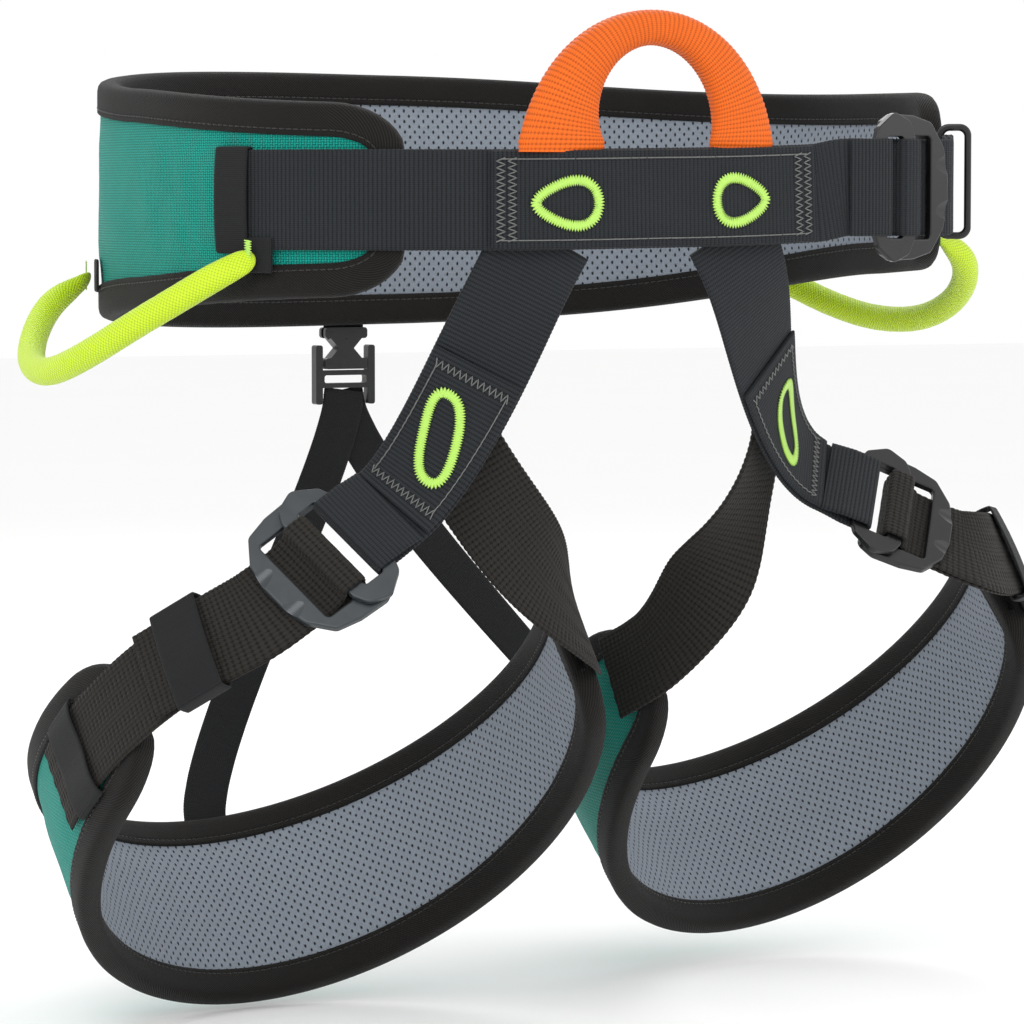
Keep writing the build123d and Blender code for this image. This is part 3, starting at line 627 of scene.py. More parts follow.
def canvas(name, tint):
    """Plain weave of thick yarns, each over one and under the next, with painted shade in the gaps
    between the yarns.
    """
    def make(title):
        look = Finish(title, 0.6, Sheen_Weight=0.04, Sheen_Roughness=0.4,
                      Specular_IOR_Level=0.2)
        across, along = look.millimetres()
        warp_pitch, weft_pitch = 1.05, 1.2
        warp, weft = look.wave(across, warp_pitch), look.wave(along, weft_pitch)
        sign = look.math(
            "MULTIPLY", look.math("SINE", look.math("MULTIPLY", across, math.pi / warp_pitch)),
            look.math("SINE", look.math("MULTIPLY", along, math.pi / weft_pitch)))
        over = look.math("GREATER_THAN", sign, 0.0)
        height = look.math("ADD", look.math("MULTIPLY", warp, over),
                           look.math("MULTIPLY", weft, look.math("SUBTRACT", 1.0, over)))
        blotch = look.noise(60.0, 4.0)
        fibre = look.noise(2200.0, 2.0)
        lit = look.math("MULTIPLY_ADD", blotch, 0.4, look.math("MULTIPLY", fibre, 0.6))
        body = look.mix(lit, shade(tint, 0.72), shade(tint, 1.4))
        # Painted shade: the gaps between yarns take a shaded copy of the tint, and the yarn crests
        # a lit one.
        look.paint(look.mix(look.steps(height, 0.15, 0.9), shade(tint, 0.22), body))
        look.relief(look.math("MULTIPLY_ADD", fibre, 0.2, height), 0.00036)
        return look.material
    return finish_named(name, make)


def spacer_mesh(name, tint, hole_shade):
    """Knitted lining with staggered oval holes between fine upright ribs, with painted shade in the
    holes and in the knit's grooves.
    """
    def make(title):
        look = Finish(title, 0.8, Sheen_Weight=0.06, Sheen_Roughness=0.5,
                      Specular_IOR_Level=0.2)
        across, along = look.millimetres()
        row, cell = 2.4, 4.8                  # mm from hole to hole, across and along
        wide, long = 1.15, 0.75               # mm, each hole's half axes
        wobble = look.math("SUBTRACT", look.noise(160.0, 2.0), 0.5)
        rows = look.math("DIVIDE", look.math("MULTIPLY_ADD", wobble, 0.5, across), row)
        odd = look.math("MULTIPLY", look.math("MODULO", look.math("FLOOR", rows), 2.0), 0.5)
        cells = look.math("ADD", look.math("DIVIDE", along, cell), odd)
        dx = look.math("SUBTRACT", look.math("FRACT", cells), 0.5)
        dy = look.math("SUBTRACT", look.math("FRACT", rows), 0.5)
        away = look.math("SQRT", look.math(
            "ADD", look.math("POWER", look.math("MULTIPLY", dx, cell / long), 2.0),
            look.math("POWER", look.math("MULTIPLY", dy, row / wide), 2.0)))
        solid = look.steps(away, 0.40, 0.85)
        knit = look.wave(along, 0.55)
        loops = look.wave(look.math("ADD", across, look.math("MULTIPLY", knit, 0.3)), 0.6)
        fuzz = look.noise(2400.0, 2.0)
        surface = look.math("MULTIPLY_ADD", loops, 0.4, look.math("MULTIPLY", fuzz, 0.6))
        body = look.mix(surface, shade(tint, 0.62), shade(tint, 1.42))
        # Painted shade: the holes are painted near-black; the knit colour is partly random fuzz and
        # partly lighter loop crests over shaded grooves.
        look.paint(look.mix(solid, tuple(hole_shade), body))
        height = look.math("MULTIPLY_ADD", solid, 1.0, look.math("MULTIPLY", loops, 0.16))
        look.relief(height, 0.0007)
        return look.material
    return finish_named(name, make)


def twill(name, tint):
    """Binding tape with slanting ridges, painted light on the ridges and painted shade between
    them.
    """
    def make(title):
        look = Finish(title, 0.7, Sheen_Weight=0.05, Sheen_Roughness=0.4,
                      Specular_IOR_Level=0.16)
        across, along = look.millimetres()
        slant = look.math("ADD", along, look.math("MULTIPLY", across, 1.15))
        ridge = look.wave(slant, 1.35)
        yarn = look.wave(across, 0.5)
        fuzz = look.noise(2400.0, 2.0)
        blotch = look.noise(45.0, 4.0)
        height = look.math("MULTIPLY_ADD", yarn, 0.3, look.math("MULTIPLY", ridge, 0.8))
        lit = look.math("MULTIPLY_ADD", blotch, 0.5, look.math("MULTIPLY", fuzz, 0.5))
        body = look.mix(lit, shade(tint, 0.7), shade(tint, 2.3))
        # Painted light: the twill ridges take a lit copy of the tint, and the grooves between them
        # a shaded copy.
        look.paint(look.mix(look.steps(height, 0.25, 1.05), shade(tint, 0.22), body))
        look.relief(look.math("MULTIPLY_ADD", fuzz, 0.2, height), 0.00032)
        return look.material
    return finish_named(name, make)


def braided(name, tint):
    """Braid: strands that cross at a slant round the tube, with painted shade in the grooves
    between them.
    """
    def make(title):
        look = Finish(title, 0.5, Sheen_Weight=0.25, Sheen_Roughness=0.35,
                      Specular_IOR_Level=0.45)
        across, along = look.millimetres()
        one = look.wave(look.math("ADD", along, look.math("MULTIPLY", across, 0.75)), 1.5)
        other = look.wave(look.math("SUBTRACT", along, look.math("MULTIPLY", across, 0.75)), 1.5)
        height = look.math("MAXIMUM", one, other)
        low = look.math("MULTIPLY", one, other)
        fuzz = look.noise(2600.0, 2.0)
        body = look.mix(look.math("MULTIPLY_ADD", look.noise(70.0, 3.0), 0.4,
                                  look.math("MULTIPLY", fuzz, 0.6)),
                        shade(tint, 0.82), shade(tint, 1.16))
        # Painted shade: the grooves where the strands meet take a shaded copy of the tint.
        look.paint(look.mix(look.steps(low, 0.0, 0.4), shade(tint, 0.62), body))
        look.relief(look.math("MULTIPLY_ADD", low, 0.7, look.math("MULTIPLY", height, 0.4)), 0.0003)
        return look.material
    return finish_named(name, make)


def sewing(name, tint, roughness=0.42):
    """Twisted thread with a soft shine and painted shade in the grooves between its plies."""
    def make(title):
        look = Finish(title, roughness, Sheen_Weight=0.3, Sheen_Roughness=0.3)
        across, along = look.millimetres()
        ply = look.wave(look.math("ADD", along, look.math("MULTIPLY", across, 0.8)), 0.42)
        fibre = look.noise(4200.0, 2.0)
        lit = look.math("MULTIPLY_ADD", fibre, 0.5, look.math("MULTIPLY", ply, 0.5))
        # Partly random fibre tone, partly painted shade: the ply crests are lighter than the
        # grooves between them.
        look.paint(look.mix(lit, shade(tint, 0.66), shade(tint, 1.12)))
        look.relief(ply, 0.00008)
        return look.material
    return finish_named(name, make)


def coated_metal(name, tint, metallic, roughness, worn):
    """Coated pressed metal: faint grain, handling marks and lightly worn edges."""
    def make(title):
        look = Finish(title, roughness, Metallic=metallic, Specular_IOR_Level=0.4,
                      Coat_Weight=0.22, Coat_Roughness=0.14)
        bevel = look.tree.nodes.new("ShaderNodeBevel")
        bevel.samples = 6
        bevel.inputs["Radius"].default_value = 0.0007
        normal = look.tree.nodes.new("ShaderNodeNewGeometry")
        dot = look.tree.nodes.new("ShaderNodeVectorMath")
        dot.operation = "DOT_PRODUCT"
        look.link(bevel.outputs[0], dot.inputs[0])
        look.link(normal.outputs["Normal"], dot.inputs[1])
        edge = look.math("SUBTRACT", 1.0, look.steps(dot.outputs["Value"], 0.80, 0.985))
        chips = look.steps(look.noise(420.0, 5.0, 0.4), 0.46, 0.62)
        wear = look.math("MULTIPLY", look.math("MULTIPLY", edge, chips), 0.35)
        marks = look.noise(90.0, 6.0, 1.2)
        body = look.mix(marks, shade(tint, 0.75), shade(tint, 1.35))
        look.paint(look.mix(wear, body, tuple(worn)))
        look.link(look.math("MULTIPLY_ADD", marks, 0.22, roughness - 0.10),
                  look.shader.inputs["Roughness"])
        look.relief(look.noise(1500.0, 3.0), 0.00003)
        return look.material
    return finish_named(name, make)


def moulded(name, tint):
    """Moulded plastic with a fine spark-eroded grain and faint scuffs."""
    def make(title):
        look = Finish(title, 0.36, Specular_IOR_Level=0.5)
        grain = look.noise(2100.0, 4.0)
        scuff = look.noise(140.0, 5.0, 1.5)
        look.paint(look.mix(scuff, shade(tint, 0.75), shade(tint, 1.7)))
        look.link(look.math("MULTIPLY_ADD", scuff, 0.25, 0.26), look.shader.inputs["Roughness"])
        look.relief(grain, 0.00005)
        return look.material
    return finish_named(name, make)


def belt_webbing():
    return woven("belt_webbing", tuple(colours().webbing), sizes().rib_pitch * 1000, 0.85, 0.00030)


def leg_webbing():
    return woven("coarse_webbing", tuple(colours().leg_webbing), sizes().coarse_pitch * 1000,
                 1.9, 0.00045, valley_shade=0.16)


def fine_tape():
    return woven("fine_tape", tuple(colours().tape), 0.8, 0.6, 0.00016, valley_shade=0.4, lit_ridge_gain=1.5)


def elastic():
    return woven("knitted_elastic", tuple(colours().tape), 0.7, 1.0, 0.0002, valley_shade=0.4, lit_ridge_gain=1.5)


# ---------------------------------------------------------------- pads

PAD_OUT, PAD_IN = -0.0003, -0.0107       # the binding's outer and inner faces
COVER_OUT, COVER_THICK = -0.0015, 0.0010
LINING_IN, LINING_THICK = -0.0095, 0.0012
LAYER_GAP, COVER_INSET, CORE_INSET = 0.0002, 0.002, 0.003
SEAM_INSET, SEAM_SINK, SEAM_RADIUS, SEAM_STITCH = 0.010, 0.00025, 0.00026, 0.0031
RIM_STEP, RIM_ARC, RIM_SIDE = 0.0024, 9, 8   # spacing along the rim; pieces round its corners
SWELL_FROM, SWELL_OVER = 0.0105, 0.016   # where a pad's middle starts to swell, from its rim


class Pad:
    """A pad's surface: distance along its run, half height there and how its corners round."""

    def __init__(self, name, body, run, half, corner):
        self.name, self.body, self.run, self.half, self.corner = name, body, run, half, corner

    def half_at(self, s, inset):
        """Half height at distances s, rounding off over the corner's length at both ends."""
        flat = np.interp(s, self.run.s, self.half) - inset
        length, depth = max(self.corner[0] - inset, 0.004), max(self.corner[1] - inset, 0.002)
        end = np.clip(np.minimum(s - inset, self.run.total - inset - s), 0.0, length) / length
        return flat - depth * (1 - np.sqrt(1 - (1 - end) ** 2))

    def rim(self, inset, count):
        """Points (s, x) round the pad's outline moved inward, matched from inset to inset."""
        length, depth = max(self.corner[0] - inset, 0.004), max(self.corner[1] - inset, 0.002)
        straight, arc, side = count
        phi = np.linspace(0, math.pi / 2, arc + 1)
        begin, stop = inset + length, self.run.total - inset - length
        top = np.linspace(begin, stop, straight + 1)

        def flat(s):
            return np.interp(s, self.run.s, self.half) - inset

        corner_s = stop + length * np.sin(phi)
        corner_x = flat(corner_s) - depth * (1 - np.cos(phi))
        other_s = begin - length * np.sin(phi)
        other_x = flat(other_s) - depth * (1 - np.cos(phi))
        right = np.linspace(corner_x[-1], -corner_x[-1], side + 1)
        left = np.linspace(-other_x[-1], other_x[-1], side + 1)
        s = np.concatenate((top, corner_s[1:], np.full(side, corner_s[-1]), corner_s[::-1][1:],
                            top[::-1][1:], other_s[1:], np.full(side, other_s[-1]),
                            other_s[::-1][1:]))
        x = np.concatenate((flat(top), corner_x[1:], right[1:], -corner_x[::-1][1:],
                            -flat(top[::-1])[1:], -other_x[1:], left[1:], other_x[::-1][1:]))
        return s, x

    def layer(self, name, outer, inner, inset, crown, columns, wrinkle=0.0):
        """One layer: a closed sheet whose middle swells away from the pad's rim."""
        ends = np.linspace(inset, self.run.total - inset, max(8, round(self.run.total / 0.003)))
        near = inset + self.corner[0] * np.array((0.02, 0.07, 0.16, 0.3, 0.5, 0.75))
        s = np.unique(np.concatenate((ends, near, self.run.total - near)))
        half = self.half_at(s, inset)
        share = np.sin(np.linspace(-0.5, 0.5, columns + 1) * math.pi * 0.92) / math.sin(
            0.46 * math.pi)
        x = share[None] * half[:, None]
        from_rim = np.minimum(half[:, None] - np.abs(x),
                              np.minimum(s, self.run.total - s)[:, None] * 0.8)
        rise = np.clip((from_rim - SWELL_FROM) / SWELL_OVER, 0.0, 1.0)
        swell = rise * rise * (3 - 2 * rise)
        ripple = wrinkle * (np.sin(s[:, None] * 210 + 5 * np.sin(s[:, None] * 37)
                                   + 2.2 * share[None])
                            * np.cos(share[None] * 4.1 + s[:, None] * 60)) * swell
        rows = []
        for face in (outer + crown[0] * swell + ripple, inner + crown[1] * swell + ripple):
            flat_s = np.repeat(s[:, None], columns + 1, axis=1)
            rows.append(self.run.at(flat_s.ravel(), x.ravel(), face.ravel()).reshape(
                len(s), columns + 1, 3))
        table = np.concatenate((rows[0], rows[1][:, ::-1], rows[0][:, :1]), axis=1)
        middle = (rows[0] + rows[1]) / 2
        ends = [np.concatenate((middle[k], middle[k, ::-1], middle[k, :1])) for k in (0, -1)]
        table = np.concatenate((ends[0][None], table, ends[1][None]))
        s_all = np.concatenate((s[:1], s, s[-1:]))
        x_all = np.concatenate((x[:1], x, x[-1:]))
        u = np.concatenate((x_all, x_all[:, ::-1], x_all[:, :1]), axis=1) + 1.0
        uv = np.stack((u, np.repeat(s_all[:, None] + 1.0, u.shape[1], axis=1)), 2)
        return skin(name, table, uv)

    def binding(self, name):
        """Tape folded round the rim, with a sewn groove near each edge and small puckers."""
        outer = [(12.5, 0.75), (12.1, 0.15), (11.2, 0.02), (10.4, 0.10), (10.0, 0.38),
                 (9.6, 0.10), (8.5, 0.0), (6.0, -0.05), (3.0, 0.05), (1.0, 0.45), (-0.3, 1.4),
                 (-1.0, 3.0)]
        middle = (PAD_OUT + PAD_IN) / 2
        deep = (PAD_OUT - PAD_IN) / 2
        fold = [(w, deep * 1000 - d) for w, d in outer]
        section = fold + [(-1.25, 0.0)] + [(w, -y) for w, y in reversed(fold)]
        inner = [(max(w, 0.3) if w > 3 else w + 1.0, y * 0.80) for w, y in section]
        loop = section + inner[::-1] + section[:1]
        count = self.rim_count()
        columns, uvs = [], []
        walked = 0.0
        for k, (w, y) in enumerate(loop):
            s, x = self.rim(w / 1000, count)
            if k == 0:
                base = self.run.at(s, x, np.zeros(len(s)))
                along = walked_along(base)
            pucker = 0.00013 * np.sin(along * 1450 + 3 * np.sin(along * 90)) * (w > 7.5)
            side = 1.0 if y > 0 else -1.0
            out = middle + y / 1000 + side * pucker
            columns.append(self.run.at(s, x, np.minimum(out, PAD_OUT)))
            if k:
                walked += math.dist(loop[k], loop[k - 1]) / 1000
            uvs.append(np.stack((np.full(len(s), walked + 1.0), along + 1.0), 1))
        return skin(name, np.stack(columns, 1), np.stack(uvs, 1))

    def rim_count(self):
        return max(40, round(self.run.total / RIM_STEP)), RIM_ARC, RIM_SIDE

    def seam(self, name, out):
        """A row of sewing thread that follows the rim."""
        s, x = self.rim(SEAM_INSET, self.rim_count())
        base = self.run.at(s, x, np.zeros(len(s)))
        walked = walked_along(base)
        at = np.arange(0.0, walked[-1], SEAM_STITCH / 7)
        return thread(name, self.run, np.interp(at, walked, s), np.interp(at, walked, x), out,
                      SEAM_RADIUS, SEAM_STITCH)

    def build(self, wrinkle):
        crown = sizes().pad_crown
        cover = self.layer(f"{self.name}_cover", COVER_OUT - LAYER_GAP, COVER_OUT - COVER_THICK,
                           COVER_INSET,
                           (0.0009, 0.0009), 22, wrinkle)
        finished(cover, canvas("canvas_cloth", tuple(colours().canvas)), self.body,
                 (f"{self.name}_face",))
        core = self.layer(f"{self.name}_core", COVER_OUT - COVER_THICK - LAYER_GAP,
                          LINING_IN + LINING_THICK + LAYER_GAP, CORE_INSET,
                          (0.0008, -crown * 0.9), 16)
        finished(core, foam_finish(), self.body, (f"{self.name}_foam",))
        lining = self.layer(f"{self.name}_mesh_lining", LINING_IN + LINING_THICK, LINING_IN,
                            COVER_INSET, (-crown, -crown), 26, wrinkle)
        finished(lining, spacer_mesh("spacer_mesh", tuple(colours().mesh),
                                     colours().mesh_hole_shade), self.body,
                 (f"{self.name}_lining",))
        tape = self.binding(f"{self.name}_rim_tape")
        finished(tape, twill("binding_twill", tuple(colours().binding)), self.body,
                 (f"{self.name}_binding",))
        rows = [self.seam(f"{self.name}_seam_out", PAD_OUT - SEAM_SINK),
                self.seam(f"{self.name}_seam_in", PAD_IN + SEAM_SINK)]
        finished(joined(rows, f"{self.name}_seams"),
                 sewing("dark_thread", shade(tuple(colours().binding), 1.8)), self.body)


def foam_finish():
    """Closed-cell foam: fine pores and uneven grey."""
    def make(title):
        look = Finish(title, 0.85, Specular_IOR_Level=0.3)
        pores = look.noise(1800.0, 3.0)
        look.paint(look.mix(pores, (0.20, 0.22, 0.24), (0.34, 0.36, 0.38)))
        look.relief(pores, 0.0002)
        return look.material
    return finish_named("closed_cell_foam", make)


# ---------------------------------------------------------------- sewing

def thread(name, run, s, x, out, radius, stitch=0.0, sides=6):
    """A thread laid over a run through (s, x); with a stitch length it dips at each hole."""
    walked = np.concatenate(([0.0], np.cumsum(np.hypot(np.diff(s), np.diff(x)))))
    lift = np.full(len(s), out)
    if stitch:
        arch = np.abs(np.sin(np.pi * walked / stitch)) ** 0.6
        lift = out + (arch - 0.75) * radius * 3.4 * (1.0 if out > PAD_IN / 2 else -1.0)
    points = run.at(s, x, lift)
    above = run.at(s, x, lift + 0.001) - points
    along = np.gradient(points, axis=0)
    along /= np.linalg.norm(along, axis=1)[:, None] + 1e-12
    above -= along * np.sum(above * along, axis=1)[:, None]
    above /= np.linalg.norm(above, axis=1)[:, None] + 1e-12
    beside = np.cross(along, above)
    angle = np.linspace(0, 2 * math.pi, sides + 1)
    table = (points[:, None] + radius * (np.cos(angle)[None, :, None] * beside[:, None]
                                         + np.sin(angle)[None, :, None] * above[:, None]))
    table = np.concatenate((np.repeat(points[:1, None], sides + 1, axis=1), table,
                            np.repeat(points[-1:, None], sides + 1, axis=1)))
    v = np.concatenate((walked[:1], walked, walked[-1:]))
    uv = np.stack(np.broadcast_arrays((angle * radius)[None], v[:, None]), 2)
    return skin(name, table, uv)


def zigzag(points, width, pitch, per_stroke=4):
    """A zigzag along a line of (s, x) points, as fine points to lay thread through."""
    points = np.array(points, float)
    walked = walked_along(points)
    strokes = max(2, round(walked[-1] / pitch))
    at = np.linspace(0.0, walked[-1], strokes * per_stroke + 1)
    middle = np.stack([np.interp(at, walked, points[:, k]) for k in range(2)], 1)
    along = np.gradient(middle, axis=0)
    along /= np.linalg.norm(along, axis=1)[:, None]
    normal = np.stack((-along[:, 1], along[:, 0]), 1)
    swing = 2 * np.abs((at / walked[-1] * strokes / 2) % 1.0 - 0.5) * 2 - 1
    made = middle + normal * (swing * width / 2)[:, None]
    return made[:, 0], made[:, 1]


def straight(points, step=0.00045):
    points = np.array(points, float)
    walked = walked_along(points)
    at = np.arange(0.0, walked[-1], step)
    return np.interp(at, walked, points[:, 0]), np.interp(at, walked, points[:, 1])


def teardrop(middle, size, points=60):
    """A rounded drop outline, blunt at one end and narrowing to the other."""
    turn = np.linspace(0, 2 * math.pi, points + 1)
    narrow = 1 - 0.38 * np.cos(turn)
    return np.stack((middle[0] + size[0] / 2 * np.cos(turn) * -1,
                     middle[1] + size[1] / 2 * np.sin(turn) * narrow), 1)


def lozenge(middle, size, slant, points=72):
    """A long closed ring with rounded ends, sheared across the strap."""
    turn = np.linspace(0, 2 * math.pi, points + 1)
    c, s = np.cos(turn), np.sin(turn)
    along = np.sign(c) * np.abs(c) ** 0.75 * size[0] / 2
    across = np.sign(s) * np.abs(s) ** 0.75 * size[1] / 2 + along * slant
    return np.stack((middle[0] + along, middle[1] + across), 1)


RUNS = {}


# ---------------------------------------------------------------- operators

CAMERA_PLACE, CAMERA_TARGET = (-0.849, -1.811, 0.0), (-0.0035, 0.0016, -0.134)
CAMERA_LENS, CAMERA_SENSOR, CAMERA_FAR = 163.8, 36.0, 30.0   # mm, mm, m


def look_from(holder, target):
    """Turn a camera or a lamp towards a point."""
    gaze = Vector(target) - holder.location
    holder.rotation_mode = "QUATERNION"
    holder.rotation_quaternion = gaze.to_track_quat("-Z", "Y")


class HARNESS_OT_camera(bpy.types.Operator):
    """Place the camera in front of the harness, a little to one side"""
    bl_idname = "harness.camera"
    bl_label = "Camera"

    def execute(self, context):
        data = bpy.data.cameras.new("camera")
        data.lens, data.sensor_width, data.clip_end = CAMERA_LENS, CAMERA_SENSOR, CAMERA_FAR
        camera = bpy.data.objects.new("camera", data)
        context.scene.collection.objects.link(camera)
        camera.location = CAMERA_PLACE
        look_from(camera, CAMERA_TARGET)
        context.scene.camera = camera
        return {"FINISHED"}


# Each gear loop's control points: angle round the waist curve, distance out from it, height.
GEAR_ROUTES = {
    "left": [(212, 0.0084, -0.022), (205.4, 0.0199, -0.035), (197.8, 0.0302, -0.049),
             (189.6, 0.0374, -0.063), (182.4, 0.0411, -0.071), (177.4, 0.0392, -0.068),
             (171.6, 0.0318, -0.057), (167, 0.0221, -0.044), (163.3, 0.0104, -0.032)],
    "right": [(-12.9, 0.0088, -0.0219), (-10, 0.0204, -0.0318), (-5.5, 0.0287, -0.0435),
              (-0.6, 0.032, -0.0541), (3.9, 0.0294, -0.0607), (11.1, 0.024, -0.0599),
              (18.6, 0.0194, -0.0529), (25.6, 0.0146, -0.0429), (31.8, 0.0093, -0.0331)],
}
# Each tab's distance out from the waist curve: the left front one lies over the belt webbing.
GEAR_TAB_REST = {"left": (0.0026, 0.0009), "right": (0.0009, 0.0009)}
GEAR_STATION = 0.0006
STRANDS, STRAND_TURN, STRAND_DEPTH = 16, 42, 0.035
# At each end the tube lies flat on its tab, a little narrower, and its tip is rounded.
GEAR_FLAT_LENGTH, GEAR_FLAT, GEAR_NARROW, GEAR_TIP = 0.012, 0.74, 0.16, 0.0065
GEAR_SEAT = 0.0024
TAB_STEPS, TAB_HALF = (-2.6, -1.3, 0, 1.3, 2.6), 0.007
TACK_BACK, TACK_REACH, TACK_OUT = 0.002, 0.006, 0.0036


def spline_points(name, route):
    """Points of the smooth line that a route's control points make."""
    data = bpy.data.curves.new(name, "CURVE")
    data.dimensions, data.resolution_u = "3D", 40
    spline = data.splines.new("NURBS")
    spline.points.add(len(route) - 1)
    for point, place in zip(spline.points, route):
        point.co = (*place, 1.0)
    spline.order_u = 3
    spline.use_endpoint_u = True
    holder = bpy.data.objects.new(name, data)
    mesh = bpy.data.meshes.new_from_object(holder)
    points = np.array([vertex.co for vertex in mesh.vertices])
    bpy.data.objects.remove(holder)
    bpy.data.meshes.remove(mesh)
    return points


class HARNESS_OT_gear_loops(bpy.types.Operator):
    """Model the braided gear loops, their sewn tabs and small bartacks"""
    bl_idname = "harness.gear_loops"
    bl_label = "Gear Loops"

    def execute(self, context):
        radius = sizes().gear_diameter / 2
        for side, marks in GEAR_ROUTES.items():
            route = [belt(*mark).o for mark in marks]
            line = spline_points(f"gear_line_{side}", route)
            run = Run(line, np.repeat(UP[None], len(line), axis=0), GEAR_STATION)
            angle = np.linspace(0, 2 * math.pi, 49)
            strand = STRANDS * (angle[None] - run.s[:, None] * STRAND_TURN)
            other = STRANDS * (angle[None] + run.s[:, None] * STRAND_TURN)
            braid = np.maximum(np.abs(np.sin(strand / 2)), np.abs(np.sin(other / 2)))
            near, far = (np.exp(-((distance / GEAR_FLAT_LENGTH) ** 2)) for distance in
                         (run.s, run.total - run.s))
            for pull, k, rest in zip((near, far), (0, -1), GEAR_TAB_REST[side]):
                seat = belt(marks[k][0], rest + GEAR_SEAT, marks[k][2])
                run.o = run.o + pull[:, None] * (seat.y * ((seat.o - run.o[k]) @ seat.y))
                lean = seat.y - run.t * (run.t @ seat.y)[:, None]
                lean /= np.linalg.norm(lean, axis=1)[:, None]
                share = np.clip(pull * 1.4, 0.0, 1.0)[:, None]
                run.n = run.n * (1 - share) + lean * np.sign(np.sum(lean * run.n)) * share
                run.n /= np.linalg.norm(run.n, axis=1)[:, None]
                run.x = np.cross(run.n, run.t)
            flat = np.clip(near + far, 0.0, 1.0)[:, None] * GEAR_FLAT
            swell = radius * (1 - STRAND_DEPTH * (1 - braid))
            ends = np.minimum(np.minimum(run.s, run.total - run.s) / GEAR_TIP, 1.0)
            tip = np.sqrt(1 - (1 - ends) ** 2 * 0.985)[:, None]
            outline = np.stack((swell * tip * np.cos(angle) * (1 - GEAR_NARROW * flat),
                                swell * tip * np.sin(angle) * (1 - flat)), 2)
            tube = swept(f"gear_tube_{side}", run, outline, pointed=True)
            finished(tube, braided("lime_braid", tuple(colours().gear)), f"gear_loop_{side}",
                     (f"gear_loop_{side}",))
            tuple(route[0])
            for end, (turn, _, height), rest in zip(("front", "rear"), (marks[0], marks[-1]),
                                                    GEAR_TAB_REST[side]):
                tab = run_of([belt(turn + step, rest, height) for step in TAB_STEPS])
                piece = swept(f"gear_tab_cloth_{side}_{end}", tab, ribbed(
                    tab, TAB_HALF, sizes().tape_thickness, 0.0009, 0.00008, 12))
                finished(piece, fine_tape(), "waist", (f"gear_tab_{side}_{end}",))
                at = tab.total / 2 - TACK_BACK
                s, x = zigzag([(at, -TACK_REACH), (at, TACK_REACH)], 0.0032, 0.0005)
                tack = thread(f"gear_tack_{side}_{end}", tab, s, x,
                              sizes().tape_thickness / 2 + TACK_OUT, sizes().bartack_radius * 0.8)
                finished(tack, sewing("lime_thread", tuple(colours().bartack), 0.36), "waist")
        return {"FINISHED"}


WAIST_PAD = (-25.0, 236.0)               # degrees from one end to the other
WAIST_FRONT, WAIST_BACK = 0.074, 0.112   # the pad's height at its ends and at the back
WAIST_CORNER, LEG_CORNER = (0.030, 0.020), (0.028, 0.013)
WAIST_RIPPLE, LEG_RIPPLE = 0.0005, 0.0004
PAD_TURN, PAD_STATION = 2.0, 0.002


class HARNESS_OT_waist_pad(bpy.types.Operator):
    """Model the waist pad: canvas face, foam, mesh lining and folded binding"""
    bl_idname = "harness.waist_pad"
    bl_label = "Waist Pad"

    def execute(self, context):
        start, end = WAIST_PAD
        angles = np.array(turns(start, end, PAD_TURN))
        run = run_of([belt(turn) for turn in angles], PAD_STATION)
        share = (angles - start) / (end - start)
        half = (WAIST_FRONT + (WAIST_BACK - WAIST_FRONT) * np.sin(np.pi * share) ** 2) / 2
        half = np.interp(run.s, distances(angles, belt), half)
        Pad("waist", "waist", run, half, WAIST_CORNER).build(WAIST_RIPPLE)
        return {"FINISHED"}


def distances(angles, place):
    """Distance along a run of the places at each angle."""
    return walked_along(np.array([place(turn).o for turn in angles]))


class HARNESS_OT_leg_pads(bpy.types.Operator):
    """Model both leg pads"""
    bl_idname = "harness.leg_pads"
    bl_label = "Leg Pads"

    def execute(self, context):
        for leg in LEGS:
            angles = np.array(turns(*leg.pad, PAD_TURN))
            run = run_of([leg.place(turn) for turn in angles], PAD_STATION)
            half = np.interp(run.s, distances(angles, leg.place),
                             [leg.pad_half(turn) for turn in angles])
            Pad(f"{leg.name}_pad", leg.body, run, half, LEG_CORNER).build(LEG_RIPPLE)
        return {"FINISHED"}


WAIST_HALF, LEG_HALF = 0.020, 0.019
DOUBLER_HALF = WAIST_HALF - 0.0005
COLUMNS = 20                             # faces across a strap
WEB_START, STRAP_END, TAIL_END = 205.0, 352.0, 343.0
PANEL = (248.5, 285.0)
LEG_RIB, LEG_BASKET, INNER_TUCK = 0.00034, 10, 0.020
RISER_HIDDEN, RISER_BEND = 0.010, 5      # hidden behind the belt; frame where the bend ends


def ribbed_strap(name, places, half, pitch, height, columns, material, body=None, nodes=(),
                 thickness=None, basket=0, tuck=0.0):
    run = run_of(places, pitch / 5)
    RUNS[name] = run
    outlines = ribbed(run, half, thickness or sizes().web_thickness - height, pitch, height,
                      columns, basket)
    if tuck:
        outlines[..., 0] *= (1 - 0.5 * np.clip(1 - run.s / tuck, 0.0, 1.0) ** 1.5)[:, None]
    piece = swept(name, run, outlines)
    return finished(piece, material, body, nodes)


